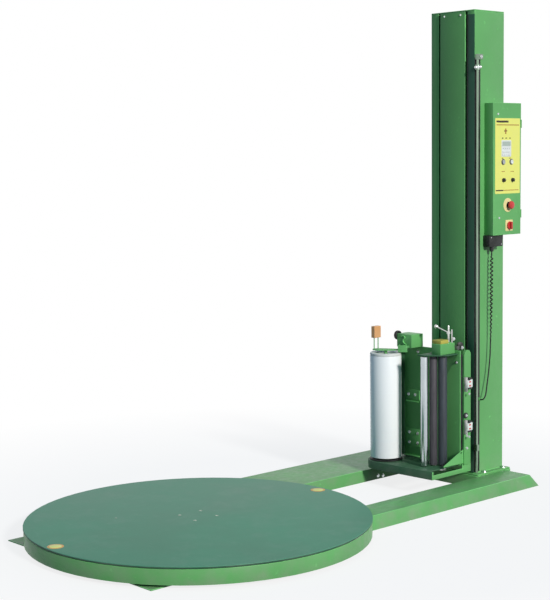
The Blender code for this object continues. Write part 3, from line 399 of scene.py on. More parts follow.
zinc = metal("zinc_plate", (0.66, 0.67, 0.66), 0.3, stain=(0.45, 0.45, 0.42))
bright = metal("bright_bolt", (0.66, 0.69, 0.7), 0.22, 0.1, 60)
dull_zinc = metal("dull_zinc", (0.3, 0.38, 0.32), 0.42, stain=(0.24, 0.28, 0.23))
chrome = metal("hard_chrome", (0.52, 0.57, 0.6), 0.18, 0.08, 70, (1, 1, 0.05))
# The rod's steel is tinted green: a painted reflection of the green mast beside it.
green_reflecting_rod_steel = metal("ground_rod_painted_reflection", (0.24, 0.33, 0.25), 0.34, 0.12, 90, (1, 1, 0.03))
dark_steel = metal("oiled_steel", (0.17, 0.17, 0.18), 0.42, stain=(0.16, 0.1, 0.06))
chain_steel = metal("chain_steel", (0.38, 0.38, 0.37), 0.36, stain=(0.2, 0.14, 0.09))
black = moulded("black_moulding", (0.014, 0.016, 0.015), 0.5, bloom=0.05)
black_soft = moulded("black_rubber", (0.012, 0.012, 0.013), 0.6, bloom=0.06)
grey = moulded("grey_moulding", (0.46, 0.48, 0.47), 0.45)
nylon = moulded("white_nylon", (0.78, 0.78, 0.74), 0.42)
orange_print = moulded("orange_print", (0.84, 0.42, 0.1), 0.45, bloom=0.1)
red = moulded("red_moulding", (0.62, 0.028, 0.022), 0.3, coat=0.4, bloom=0.05)
yellow = moulded("yellow_print", (0.88, 0.86, 0.19), 0.42, bloom=0.08, coat=0.2)
pale_yellow = moulded("pale_yellow_plate", (0.88, 0.76, 0.34), 0.45)
white_key = moulded("white_keys", (0.82, 0.84, 0.8), 0.35)
lcd = moulded("display_glass", (0.42, 0.5, 0.42), 0.12, coat=0.8, grain=60)
ink = moulded("dark_print", (0.045, 0.035, 0.02), 0.55, bloom=0.02)
brown_ink = moulded("brown_print", (0.42, 0.2, 0.05), 0.55, bloom=0.02)
copper = moulded("orange_moulding", (0.8, 0.4, 0.17), 0.4)
slow_rubber = rubber_sleeve("slow_roller_rubber", (0.052, 0.046, 0.055))
fast_rubber = rubber_sleeve("fast_roller_rubber", (0.026, 0.034, 0.044))
film = wound_film()
board = cardboard()
print("finishes", len(bpy.data.materials))

# %% [markdown]
# ## The coiled control lead
# The panel's lead leaves a gland under the junction box, hangs in a tight curl beside the mast and
# then runs plain into a small boss on the mast. A curl is a circle walked downwards, so a short
# loop computes its points, and the same curve goes on through the smooth end. A round bevel gives
# it its jacket.
# %% Control lead
LEAD_DIAMETER = 0.0065
CURL_RADIUS = 0.0054
CURL_PITCH = 0.02
POINTS_A_TURN = 14
CURL_TOP, CURL_WHOLE, CURL_GONE, CURL_BOTTOM = 1.142, 0.9, 0.7, 0.676  # heights
CURL_OPENS = 30  # the curl reaches its full width over the first thirtieth of its height
curl_axis = [(1.65, -0.278, 1.16), (1.6495, -0.278, 1.06), (1.648, -0.278, 0.96),
             (1.647, -0.278, 0.86), (1.645, -0.278, 0.76), (1.641, -0.278, 0.67)]
plain_end = [(1.6409, -0.278, 0.66), (1.639, -0.278, 0.64), (1.634, -0.278, 0.6),
             (1.627, -0.2785, 0.56), (1.617, -0.28, 0.52), (1.607, -0.2835, 0.49),
             (1.597, -0.2875, 0.465), (1.5885, -0.2875, 0.448), (1.583, -0.283, 0.439),
             (1.5805, -0.276, 0.4362), (1.58, -0.2665, 0.436)]


def axis_at(height):
    """The curl's middle line at a height."""
    for (x0, y0, z0), (x1, y1, z1) in zip(curl_axis, curl_axis[1:]):
        if z1 <= height <= z0:
            part = (z0 - height) / (z0 - z1)
            return x0 + (x1 - x0) * part, y0 + (y1 - y0) * part
    return curl_axis[-1][:2]


def still_curled(height):
    """1 where the curl is whole, and less lower down, where its own weight has pulled it out."""
    return min(1, max(0, (height - CURL_GONE) / (CURL_WHOLE - CURL_GONE)))


def curl_points():
    """The curl's route from the gland down, as a circle about its middle line."""
    tall = CURL_TOP - CURL_BOTTOM
    steps = round(tall / CURL_PITCH * POINTS_A_TURN)
    points = [curl_axis[0], (1.65, -0.278, 1.152)]
    for step in range(steps + 1):
        part = step / steps
        height = CURL_TOP - tall * part
        x, y = axis_at(height)
        wide = CURL_RADIUS * min(1, part * CURL_OPENS) * still_curled(height)
        turn = 2 * math.pi * step / POINTS_A_TURN
        points.append((x + wide * math.cos(turn), y + wide * math.sin(turn), height))
    return points


def tube(name, points, radius, made, body="frame"):
    """A round cord or wire along a list of points."""
    data = bpy.data.curves.new(name, "CURVE")
    data.dimensions = "3D"
    data.bevel_depth = radius
    data.bevel_resolution = 4
    data.use_fill_caps = True
    line = data.splines.new("POLY")
    line.points.add(len(points) - 1)
    for point, (x, y, z) in zip(line.points, points):
        point.co = (x, y, z, 1)
    line.use_smooth = True
    data.materials.append(made)
    obj = bpy.data.objects.new(name, data)
    bpy.context.scene.collection.objects.link(obj)
    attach(obj, body)
    return obj


def rounded(points, times_over=2):
    """Cuts a route's corners a quarter of the way along each side, so that it bends smoothly."""
    for _ in range(times_over):
        cut = [points[0]]
        for a, b in zip(points, points[1:]):
            cut.append(tuple(p * 0.75 + q * 0.25 for p, q in zip(a, b)))
            cut.append(tuple(p * 0.25 + q * 0.75 for p, q in zip(a, b)))
        points = cut + [points[-1]]
    return points


lead_points = curl_points() + rounded(plain_end)
lead = tube("control_lead", lead_points, LEAD_DIAMETER / 2, black_soft)
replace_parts(lead, "coiled_cord", "cord_tail")

# %% [markdown]
# ## Modelling helpers
# Everything below starts from one of a few moves. A round fitting is drawn up from a disc, step by
# step, as on a lathe. A plate is a block brought to size with its edges bevelled. Repeated
# fittings are modelled once and copied.
# %% Modelling helpers
UP, OUT = (0, 0, 1), (0, -1, 0)  # out of the near side, where the panel is
FORWARD = (-1, 0, 0)  # from the mast to the turntable
CORNER = math.radians(50)  # an edge sharper than this is a corner to round


def fresh():
    """Leaves edit mode with nothing selected."""
    if bpy.context.object and bpy.context.object.mode != "OBJECT":
        bpy.ops.object.mode_set(mode="OBJECT")
    bpy.ops.object.select_all(action="DESELECT")


def pick(*pieces):
    fresh()
    for piece in pieces:
        piece.select_set(True)
    bpy.context.view_layer.objects.active = pieces[0]


def edit(piece, whole=True):
    """Opens a piece in edit mode, with all of it selected or nothing."""
    pick(piece)
    bpy.ops.object.mode_set(mode="EDIT")
    bpy.ops.mesh.select_mode(type="EDGE")
    bpy.ops.mesh.select_all(action="SELECT" if whole else "DESELECT")


def edit_edges(piece, test):
    """Opens a piece in edit mode with the edges selected that pass a test."""
    edit(piece, whole=False)
    shape = bmesh.from_edit_mesh(piece.data)
    for side in shape.edges:
        side.select_set(test(side))
    bmesh.update_edit_mesh(piece.data)


def is_corner(side):
    return side.calc_face_angle(0) > CORNER


def runs_along(side, axis):
    line = (side.verts[1].co - side.verts[0].co).normalized()
    return abs(line["xyz".index(axis)]) > 0.99


def coated(piece, made):
    piece.data.materials.clear()
    piece.data.materials.append(made)
    return piece


def dress(piece, made, test):
    """Gives the faces that pass a test another finish."""
    piece.data.materials.append(made)
    index = len(piece.data.materials) - 1
    for face in piece.data.polygons:
        if test(face.center):
            face.material_index = index


def settle(piece, name, body, smooth=32):
    """Puts a finished piece's place into its mesh, names it and says what it moves with."""
    pick(piece)
    bpy.ops.object.transform_apply(location=True, rotation=True, scale=True)
    bpy.ops.object.shade_smooth_by_angle(angle=math.radians(smooth))
    piece.name = name
    piece.data.name = name
    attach(piece, body)
    return piece


def joined(pieces):
    pick(*pieces)
    bpy.ops.object.join()
    return bpy.context.object


def fasteners(piece, places, name, body):
    """Copies of one screw, each with its own mesh, moved to their places and joined."""
    copies = []
    for at in places:
        copy = piece.copy()
        copy.data = piece.data.copy()
        bpy.context.scene.collection.objects.link(copy)
        copy.location = piece.location + Vector(at)
        copies.append(copy)
    bpy.data.objects.remove(piece)
    settle(joined(copies), name, body)


def circle(radius, height, sides, fill):
    """A circle about the origin's upright, open in edit mode."""
    fresh()
    bpy.ops.mesh.primitive_circle_add(vertices=sides, radius=radius, fill_type=fill,
                                      location=(0, 0, height))
    piece = bpy.context.object
    bpy.ops.object.transform_apply(location=True)
    edit(piece)
    return piece


def widen(grow, height):
    bpy.ops.transform.resize(value=(grow, grow, 1), center_override=(0, 0, height))


def draw_up(rise):
    bpy.ops.mesh.select_mode(type="FACE")
    bpy.ops.mesh.extrude_region_move(TRANSFORM_OT_translate={"value": (0, 0, rise)})


def turn_faces_out():
    bpy.ops.mesh.select_all(action="SELECT")
    bpy.ops.mesh.normals_make_consistent(inside=False)


def turned(made, steps, at=(0, 0, 0), axis=UP, sides=32):
    """A round piece drawn up from a disc. Each step is (radius, height) along the axis."""
    radius, height = steps[0]
    piece = circle(radius, height, sides, "NGON")
    for new_radius, new_height in steps[1:]:
        draw_up(new_height - height)
        widen(new_radius / radius, new_height)
        radius, height = new_radius, new_height
    turn_faces_out()
    bpy.ops.object.mode_set(mode="OBJECT")
    piece.rotation_euler = Vector(axis).to_track_quat("Z", "Y").to_euler()
    piece.location = at
    return coated(piece, made)


def block(made, low, high, corner, segments=2, upright=None):
    """A block with bevelled edges. upright names the axis along which only the long edges are
    rounded by that much more, as on a label or a keypad."""
    fresh()
    middle = [(a + b) / 2 for a, b in zip(low, high)]
    bpy.ops.mesh.primitive_cube_add(size=1, location=middle)
    piece = bpy.context.object
    piece.scale = [b - a for a, b in zip(low, high)]
    bpy.ops.object.transform_apply(location=False, rotation=False, scale=True)
    if upright:
        along, radius = upright
        edit_edges(piece, lambda side: runs_along(side, along))
        bpy.ops.mesh.bevel(offset=radius, segments=5, affect="EDGES")
    if corner:
        edit_edges(piece, is_corner)
        bpy.ops.mesh.bevel(offset=corner, segments=segments, affect="EDGES")
    fresh()
    return coated(piece, made)


def ring(made, inner, outer, low, high, at, sides=64, ease=0.0008):
    """A flat ring: a circle's edge is drawn outwards, then the ring upwards."""
    piece = circle(inner, low, sides, "NOTHING")
    bpy.ops.mesh.extrude_edges_move()
    widen(outer / inner, low)
    bpy.ops.mesh.select_all(action="SELECT")
    draw_up(high - low)
    turn_faces_out()
    edit_edges(piece, is_corner)
    bpy.ops.mesh.bevel(offset=ease, segments=2, affect="EDGES")
    fresh()
    piece.location = at
    return coated(piece, made)


def screw(radius, axis, washer, at=(0, 0, 0), tall=None):
    """A bright hexagon head with its chamfer, on a washer of the given thickness."""
    tall = tall or radius * 0.85
    head = turned(bright, [(radius, washer), (radius, washer + tall * 0.8),
                           (radius * 0.82, washer + tall)], at, axis, 6)
    under = turned(bright, [(radius * 1.45, 0), (radius * 1.45, washer * 0.7),
                            (radius * 1.38, washer)], at, axis, 24)
    return joined([head, under])


print("modelling helpers ready")

# %% [markdown]
# ## Rounded bends on the construction solids
# The construction solids have knife-sharp edges. On the real machine each bend has a small radius,
# which draws the bright lines along the mast, the rails and the boxes. Each solid is copied, its
# loose triangles are merged, its flat faces are dissolved into whole ones, and its longer sharp
# edges are bevelled. The bevel carries its own finish, a thinner coat that is also paler as a
# painted highlight.
# %% Rounded bends
BEND = math.radians(35)  # a softer edge than this is a facet of a curve and stays as it is
SAME_POINT, FLAT_WITHIN = 0.00002, math.radians(0.5)


def eased(source, body, made, width=0.0012, least=0.006, bends=None):
    """A copy of a construction solid with rounded bends, which takes its place. Only edges longer
    than least are rounded."""
    fresh()
    piece = bpy.data.objects.new(source, nodes[source].data.copy())
    bpy.context.scene.collection.objects.link(piece)
    edit(piece)
    bpy.ops.mesh.customdata_custom_splitnormals_clear()
    bpy.ops.mesh.remove_doubles(threshold=SAME_POINT)
    bpy.ops.mesh.dissolve_limited(angle_limit=FLAT_WITHIN)
    edit_edges(piece, lambda side: side.calc_face_angle(0) > BEND and side.calc_length() > least)
    bpy.ops.transform.edge_bevelweight(value=1)
    bpy.ops.object.mode_set(mode="OBJECT")
    coated(piece, made)
    piece.data.materials.append(bends or made)
    if width:
        soften = piece.modifiers.new("bends", "BEVEL")
        soften.limit_method = "WEIGHT"
        soften.width = width
        soften.segments = 2
        soften.use_clamp_overlap = False
        soften.material = 1
        pick(piece)
        bpy.ops.object.modifier_apply(modifier="bends")
    settle(piece, source + "_finished", body, 50 if width else 32)
    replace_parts(piece, source)
    return piece


def panel(source, body, width, least=0.006, made=green):
    """A folded sheet in the green, with a thinner bend coat that is paler as a painted highlight.
    """
    return eased(source, body, made, width, least, bend_wear_and_highlight)


def narrow_from_left(piece, before, by):
    """Moves a box's -X side inwards."""
    edit_edges(piece, lambda side: all(end.co.x < before for end in side.verts))
    bpy.ops.transform.translate(value=(by, 0, 0))
    fresh()


print("bends helper ready")
# %% Base, deck and mast shells
PANEL_EDGE = 0.1  # on the rails only the long edges are bends; slots and ears are cut sharp
DECK_RIM = 0.7492  # the radius outside which a face belongs to the deck's side
panel("near_rail", "frame", 0.0016, PANEL_EDGE, rail_green)
panel("far_rail", "frame", 0.0016, PANEL_EDGE)
panel("cross_box", "frame", 0.0014)
panel("skirt_ring", "frame", 0.001)
deck = eased("deck", "turntable", deck_green)
# The deck's side gets painted shade.
dress(deck, rim_painted_shade, lambda at: math.hypot(at.x, at.y) > DECK_RIM)
panel("mast_column", "frame", 0.0015, PANEL_EDGE)
# The front cover is painted shade, and its bends a darker painted shade.
eased("mast_front_cover", "frame", painted_shade_green, bends=strip_painted_shade)
panel("mast_cap", "frame", 0.0012)
panel("control_box", "frame", 0.0015)
panel("control_door", "control_door", 0.0008)
terminal_box = eased("junction_box", "frame", black, 0.0015)
narrow_from_left(terminal_box, 1.6, 0.03)
eased("bearing_base", "frame", dark_steel, 0.001)
print("shells of the frame and the deck made")
# %% Carriage shells
CANOPY = (0.6675, 0.6745)  # the height of the plate over the rollers
PLATE = 1.45  # the face of the carriage plate
SHADED_TO, SHADED_FROM = 1.43, -0.245  # the shelf's floor inside its guard, in X and in Y
GATE_POST_X, GATE_POST_Y, COVER_TOP = 1.424, -0.196, 0.744
# The carriage plate is painted shade, a darker green than the rest.
plate = panel("carriage_plate", "carriage", 0.0008, made=painted_shade_green)
# The canopy's edge over the rollers gets painted shadow.
dress(plate, shadow_coat, lambda at: CANOPY[0] < at.z < CANOPY[1] and at.x < PLATE - 0.0005)
shelf = panel("carriage_shelf", "carriage", 0.0008)
# The shelf's floor inside its guard gets painted shadow.
dress(shelf, shadow_coat, lambda at: at.x < SHADED_TO and at.y > SHADED_FROM)
cover = panel("drive_cover", "carriage", 0.0012)
dress(cover, zinc, lambda at: at.z > COVER_TOP
      and math.dist(at[:2], (GATE_POST_X, GATE_POST_Y)) < 0.012)
eased("drive_cover_lid", "carriage", ochre)
panel("side_bar", "carriage", 0.0008, 0.03)
panel("arm_hinge_block", "carriage", 0.0008, 0.03)
panel("top_arm", "roll_arm", 0.0006)
eased("trolley", "carriage", dark_steel, 0.0008, PANEL_EDGE)
eased("load_sensor", "roll_arm", copper, 0.0016)
eased("latch_knob", "latch_knob", black, 0.002, 0.003)
eased("gate_lever", "gate_lever", zinc, 0)
print("shells of the carriage made")

# %% [markdown]
# ## Machinery and the guide rod
# Closed sheets hide the motors, chains, sprockets and rollers, so their construction solids stay
# as they are and only get a finish: enamel on a motor, steel on a chain, nylon on a roller. The
# guide rod is a plain ground bar, its steel tinted green as a painted reflection of the mast.
# %% Machinery finishes
machinery = {
    motor_coat: ("drive_gearmotor", "lift_gearmotor"),
    chain_steel: ("rail_chain", "cross_chain", "lift_chain"),
    dark_steel: ("drive_ring", "drive_pinion", "countershaft", "drive_sprocket",
                 "lift_drive_sprocket", "lift_idler_sprocket"),
    green_reflecting_rod_steel: ("cord_guide_rod",),
    nylon: [name for name in nodes if name.startswith(("support_roller", "guide_roller"))]}
for made, names in machinery.items():
    for name in names:
        coated(nodes[name], made)
print("machinery finished")

# %% [markdown]
# ## The film unit
# A roll of stretch film stands on a mandrel. Beside it a bright idler turns the web towards two
# rubber-covered rollers, one driven slower than the other, which stretch it. The rollers' ends are
# bare steel journals, so each roller gets two finishes by height.
# %% Film unit
SLEEVE = (0.13, 0.663)  # the height of the rubber on a roller
eased("film_roll", "film", film, 0.0025)
eased("film_core", "film", board, 0.0008)
eased("mandrel_base", "film", black)
eased("top_adapter", "film", nylon, 0.001)
eased("idler_roller", "idler_roller", chrome, 0.0008, 0.001)
for name, covering in (("slow_roller", slow_rubber), ("fast_roller", fast_rubber)):
    roller = eased(name, name, zinc, 0.001, 0.001)
    dress(roller, covering, lambda at: SLEEVE[0] < at.z < SLEEVE[1])
print("film unit made")

# %% [markdown]
# ## Deck fittings
# The deck plate is held to its hub by four low screws near the middle. Each is a shallow disc
# whose socket is drawn down again from its top face. Two bare round markers lie near the rim and
# show where the deck comes to rest. A dark band of painted shade hangs inside the gap between the
# deck and its skirt.
# %% Deck fittings
DECK_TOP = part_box("deck")[1].z
socket_head = [(0.008, 0), (0.008, 0.0008), (0.007, 0.0016), (0.004, 0.0016), (0.0036, 0.0004)]
fasteners(turned(dull_zinc, socket_head, sides=24),
          [(-0.043, 0.078, DECK_TOP), (0.071, 0.073, DECK_TOP), (0.066, -0.042, DECK_TOP),
           (-0.053, -0.038, DECK_TOP)], "deck_screws", "turntable")
locating_screw = turned(dull_zinc, [(0.0055, 0), (0.0055, 0.001), (0.004, 0.0018)],
                        (-0.268, 0.237, DECK_TOP), sides=20)
settle(locating_screw, "deck_locating_screw", "turntable")
for name, x, y in (("rest_marker_front", -0.706, 0.048), ("rest_marker_rear", 0.705, -0.015)):
    rim = turned(orange_print, [(0.034, 0), (0.034, 0.0003), (0.0334, 0.0005)],
                 (x, y, DECK_TOP), sides=48)
    face = turned(yellow, [(0.025, 0.0003), (0.025, 0.0007), (0.0246, 0.0008)],
                  (x, y, DECK_TOP), sides=48)
    settle(joined([rim, face]), name, "turntable")
band = ring(rim_painted_shade, 0.739, 0.7415, 0.0785, 0.0838, (0, 0, 0), 96, 0.0004)
settle(band, "deck_shadow_band", "turntable")
print("deck fittings made")

# %% [markdown]
# ## Anchors, cover screws and strips
# The mast's foot is bolted down through its flange by hexagon bolts on washers, and its front
# cover is held by small screws under the cap. The far rail carries two levelling bolts on its
# inner wall. Thin strips line the mast's near slot: a pale one is a painted highlight on the
# cover's sunlit edge, and a dark one is painted shade on the mast's near strip.
# %% Anchors, cover screws and strips
FOOT_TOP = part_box("cross_box")[1].z + 0.0083  # the top of the mast's foot flange
COVER_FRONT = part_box("mast_front_cover")[0].x
MAST_FRONT, SLOT_EDGE = 1.547, -0.2135
STRIP_FOOT, STRIP_TOP = 0.072, 2.3
fasteners(screw(0.0085, UP, 0.002, tall=0.0075),
          [(x, y, FOOT_TOP) for y in (-0.27, 0.035) for x in (1.608, 1.756)],
          "mast_anchor_bolts", "frame")
fasteners(screw(0.006, OUT, 0.0012, tall=0.0045),
          [(1.351, 0.208, 0.018), (1.388, 0.208, 0.013)], "rail_levelling_bolts", "frame")
low_head = [(0.005, 0), (0.005, 0.0008), (0.0036, 0.002), (0.001, 0.0024)]
fasteners(turned(bright, low_head, axis=FORWARD, sides=20),
          [(COVER_FRONT, -0.07, STRIP_TOP), (COVER_FRONT, -0.171, STRIP_TOP)],
          "cover_screws", "frame")
for name, made, slot, low, high, ease in (
        # a pale strip: painted highlight on the cover's sunlit near edge
        ("cover_edge_strip", bend_wear_and_highlight, "green_paint", (COVER_FRONT, -0.1978, 2.078),
         (1.55, -0.195, STRIP_TOP), 0.0003),
        # a dark strip: painted shade on the mast's near strip
        ("mast_near_strip", strip_painted_shade, "green_paint", (1.5464, -0.2541, STRIP_FOOT),
         (MAST_FRONT, SLOT_EDGE, STRIP_TOP), 0.0002),
        ("slot_edging", black_soft, "rubber", (1.5455, SLOT_EDGE, STRIP_FOOT),
         (MAST_FRONT, -0.2092, STRIP_TOP), 0.0004),
        # a plain black strip along the mast's side, beside the rod
        ("black_strip_beside_rod", black_soft, "rubber", (1.5464, -0.2547, 0.076),
         (1.589, -0.2535, 2.095), 0.0004)):
    settle(block(made, low, high, ease), name, "frame")
print("anchors, cover screws and strips made")

# %% [markdown]
# ## The guide rod's fittings
# The ground rod beside the mast is clamped near its top by a split collar with a bright cap nut on
# each side, and a small pressed bracket holds it above.
# %% Rod fittings
ROD_X, ROD_Y = 1.554, -0.2655
clamp = turned(bright, [(0.0075, 0), (0.0108, 0.003), (0.0118, 0.01), (0.0108, 0.017),
                        (0.0075, 0.02)], (ROD_X, ROD_Y, 2.0375))
cap_nut = [(0.0085, 0), (0.0085, 0.005), (0.0078, 0.0085), (0.0052, 0.0115), (0.002, 0.0125)]
nut_front = turned(bright, cap_nut, (ROD_X - 0.0095, ROD_Y - 0.001, 2.047), (-1, -0.2, 0), 24)
nut_side = turned(bright, cap_nut, (ROD_X + 0.008, ROD_Y - 0.004, 2.049), (0.4, -0.9, 0), 24)
settle(joined([clamp, nut_front, nut_side]), "rod_clamp", "frame")
top_bolt = screw(0.0055, OUT, 0.001, (ROD_X + 0.015, -0.2765, 2.0975))
settle(top_bolt, "rod_bracket_bolt", "frame")
print("rod fittings made")

# %% [markdown]
# ## The operator panel
# A printed yellow foil covers the upper part of the door, with a keypad, two push buttons and two
# pointer knobs. Lettering is left out, and plain bars stand where captions would be. Below the
# foil sit the emergency stop on its round plate and the main switch on its square one. Foils are
# thin blocks with rounded corners, and buttons are drawn out on the lathe, each one inside its
# fixed bezel.
# %% Panel foil and keypad
DOOR = -0.3081  # the door's outer face
KEY_COLUMNS = (1.6975, 1.7135, 1.7305, 1.7465)


def on_door(made, x0, x1, z0, z1, proud, corner=0.0015, ease=0.0, back=0.0):
    """A flat piece with rounded corners that stands proud of the door."""
    return block(made, (x0, DOOR - proud, z0), (x1, DOOR - back, z1), ease,
                 upright=("y", corner))


def drawn_out(made, steps, x, z, sides=40):
    """A round piece drawn out of the door. Each step is (radius, height above the door)."""
    return turned(made, steps, (x, DOOR, z), OUT, sides)


def panel_piece(pieces, name):
    settle(joined(pieces), name, "control_door")


foil = on_door(yellow, 1.636, 1.829, 1.441, 1.806, 0.0005, 0.005)
settle(foil, "panel_foil", "control_door")
keypad = on_door(white_key, 1.684, 1.76, 1.62, 1.7, 0.0012, 0.004, 0.0004)
window = on_door(lcd, 1.69, 1.754, 1.672, 1.694, 0.0016, 0.002)
panel_piece([keypad, window], "panel_keypad")
panel_piece([on_door(white_key, x - 0.0062, x + 0.0062, z - 0.0058, z + 0.0058, 0.0026, 0.002,
                     0.0006, 0.001) for x in KEY_COLUMNS for z in (1.629, 1.645)],
            "panel_keys")
panel_piece([drawn_out(grey, [(0.0026, 0), (0.0024, 0.0022), (0.0012, 0.003)], x, 1.66, 16)
             for x in KEY_COLUMNS], "panel_lamps")
bars = [(1.645, 1.738, 1.785, 1.7945), (1.706, 1.712, 1.742, 1.748),
        (1.722, 1.728, 1.742, 1.748), (1.688, 1.698, 1.708, 1.7125),
        (1.715, 1.727, 1.708, 1.7125), (1.744, 1.756, 1.708, 1.7125),
        (1.688, 1.698, 1.611, 1.6145), (1.744, 1.756, 1.611, 1.6145),
        (1.642, 1.7, 1.454, 1.46)]
panel_piece([on_door(ink, *bar, 0.0008, 0.0006) for bar in bars], "panel_bars")
thin_bars = [(1.645, 1.822, 1.7715, 1.776), (1.712, 1.722, 1.73, 1.756),
             (1.702, 1.82, 1.4555, 1.459), (1.686, 1.712, 1.547, 1.55),
             (1.756, 1.782, 1.547, 1.55)]
panel_piece([on_door(brown_ink, *bar, 0.0007, 0.0006) for bar in thin_bars], "panel_thin_bars")
print("panel foil and keypad made")
# %% Buttons and knobs
STEM_ROOT = -0.0155  # how far a stem reaches in behind the door
DIAL_R = 0.015
DIAL_TURNS = [math.radians(turn) for turn in range(-135, 136, 45)]


def middle_of(name):
    low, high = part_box(name)
    return (low.x + high.x) / 2, (low.z + high.z) / 2


def push_button(name, colour):
    """A cap on its stem, and around it a fixed ring: drawn up, over, and down again inside."""
    x, z = middle_of(name)
    cap = drawn_out(colour, [(0.0104, 0.004), (0.0104, 0.0062), (0.0096, 0.0071),
                             (0.008, 0.0071), (0.0074, 0.0062)], x, z)
    stem = drawn_out(black, [(0.006, STEM_ROOT), (0.006, 0.0042)], x, z, 24)
    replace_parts(settle(joined([cap, stem]), name + "_cap", name), name)
    bezel = drawn_out(dark_steel, [(0.0145, 0), (0.0145, 0.0022), (0.013485, 0.0032),
                                   (0.01189, 0.0032), (0.0116, 0.0008)], x, z)
    settle(bezel, name + "_bezel", "control_door")


def pointer_knob(name):
    """A round knob with a grip and a pointer line, in the middle of a dial of ticks."""
    x, z = middle_of(name)
    skirt = drawn_out(black, [(0.0098, 0.0006), (0.0098, 0.003), (0.008, 0.0042),
                              (0.0072, 0.0118), (0.0062, 0.0134)], x, z, 36)
    stem = drawn_out(black, [(0.003, STEM_ROOT), (0.003, 0.001)], x, z, 20)
    grip = block(black, (x - 0.0022, DOOR - 0.0138, z - 0.009),
                 (x + 0.0022, DOOR - 0.0032, z + 0.009), 0.0007)
    line = block(white_key, (x - 0.0004, DOOR - 0.014, z + 0.002),
                 (x + 0.0004, DOOR - 0.0134, z + 0.0084), 0)
    knob = joined([skirt, stem, grip, line])
    settle(knob, name + "_detailed", name)
    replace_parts(knob, name)
    ticks = []
    for turn in DIAL_TURNS:
        tick = block(ink, (-0.0004, -0.0008, -0.0016), (0.0004, 0, 0.0016), 0)
        tick.rotation_euler.y = turn
        tick.location = (x + DIAL_R * math.sin(turn), DOOR, z + DIAL_R * math.cos(turn))
        ticks.append(tick)
    panel_piece(ticks, name + "_dial")


push_button("start_button", grey)
push_button("stop_button", white_key)
pointer_knob("mode_knob")
pointer_knob("speed_knob")
print("buttons and knobs made")
# %% Emergency stop, main switch and door screws
stop_x, stop_z = middle_of("emergency_stop")
head = drawn_out(red, [(0.0125, 0.0105), (0.0188, 0.0135), (0.02, 0.0165), (0.0196, 0.0205),
                       (0.0172, 0.024), (0.012, 0.0259), (0.005, 0.0265)], stop_x, stop_z, 48)
barrel = drawn_out(black, [(0.008, STEM_ROOT), (0.008, 0.006), (0.012, 0.008),
                           (0.012, 0.0108)], stop_x, stop_z)
mushroom = settle(joined([head, barrel]), "emergency_stop_head", "emergency_stop")
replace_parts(mushroom, "emergency_stop")
legend = drawn_out(pale_yellow, [(0.034, 0), (0.034, 0.0008), (0.0334, 0.0012)],
                   stop_x - 0.006, stop_z, 56)
collar = drawn_out(black, [(0.016, 0.001), (0.016, 0.0034), (0.0146, 0.0042), (0.0128, 0.0042),
                           (0.0126, 0.0014)], stop_x, stop_z)
panel_piece([legend, collar], "emergency_stop_plate")
switch_x, switch_z = middle_of("main_switch")
dial = drawn_out(red, [(0.0195, 0.003), (0.0195, 0.0075), (0.018, 0.0092), (0.011, 0.0092)],
                 switch_x, switch_z, 48)
grip = block(red, (switch_x - 0.0052, DOOR - 0.0198, switch_z - 0.018),
             (switch_x + 0.0052, DOOR - 0.0085, switch_z + 0.018), 0.0016, 3)
spindle = drawn_out(black, [(0.005, STEM_ROOT), (0.005, 0.0034)], switch_x, switch_z, 24)
handle = settle(joined([dial, grip, spindle]), "main_switch_handle", "main_switch")
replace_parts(handle, "main_switch")
square = block(pale_yellow, (switch_x - 0.03, DOOR - 0.0016, switch_z - 0.027),
               (switch_x + 0.027, DOOR, switch_z + 0.027), 0.0003, upright=("y", 0.004))
settle(square, "main_switch_plate", "control_door")
domed_head = [(0.0058, 0), (0.0058, 0.0012), (0.0044, 0.003), (0.0014, 0.0036)]
fasteners(turned(bright, domed_head, axis=OUT, sides=24),
          [(1.658, DOOR, 1.826), (1.669, DOOR, 1.324)], "door_screws", "control_door")
box_low, box_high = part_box("junction_box")
fasteners(turned(bright, [(0.003, 0), (0.003, 0.0008), (0.0018, 0.0014)], axis=OUT, sides=16),
          [(box_low.x + 0.042, box_low.y, 1.23), (box_high.x - 0.012, box_low.y, 1.195)],
          "junction_box_screws", "frame")
print("emergency stop and main switch made")

# %% [markdown]
# ## Carriage fittings
# The plate that carries the rollers is stiffened by a folded rib and a bottom flange, and bright
# screws hold the bearings and the trolley behind it. Each screw is a chamfered hexagon on a
# washer, modelled once. Pads, ribs and flanges are thin blocks with eased edges.
# %% Carriage plate fittings
# The pads take the plate's painted shade, the ribs the paler bend coat with its painted highlight.
for name, made, rows in (
        ("plate_pads", painted_shade_green, [(0.003, 0.016, 0.1, 0.413, 0.465, 0.0006),
                                     (0.003, 0.01, 0.1, 0.178, 0.266, 0.0006)]),
        ("plate_ribs", bend_wear_and_highlight, [(0.006, 0.02, 0.102, 0.403, 0.408, 0.001),
                                    (0.011, 0.014, 0.113, 0.127, 0.132, 0.001),
                                    (0.0045, 0.013, 0.016, 0.415, 0.464, 0.0008)])):
    parts = [block(made, (PLATE - proud, y0, z0), (PLATE, y1, z1), ease)
             for proud, y0, y1, z0, z1, ease in rows]
    settle(joined(parts), name, "carriage")
# The folded return beside the roll is coloured as painted shadow.
folded_back = block(shadow_coat, (PLATE - 0.026, 0.112, 0.13), (PLATE, 0.1145, 0.66), 0.0006)
settle(folded_back, "plate_return", "carriage")
fasteners(screw(0.0058, FORWARD, 0.0014, (PLATE - 0.0028, 0, 0)),
          [(0, 0.085, 0.44), (0, 0.042, 0.44), (0, 0.08, 0.247), (0, 0.026, 0.246),
           (0, 0.08, 0.196), (0, 0.026, 0.197)], "plate_screws", "carriage")
fasteners(screw(0.0056, FORWARD, 0.0012, (PLATE, 0, 0)), [(0, 0.024, 0.66), (0, -0.224, 0.63)],
          "plate_corner_screws", "carriage")
settle(screw(0.0058, UP, 0.0014, (1.4215, -0.197, 0.124)), "shelf_screw", "carriage")
print("carriage plate fittings made")
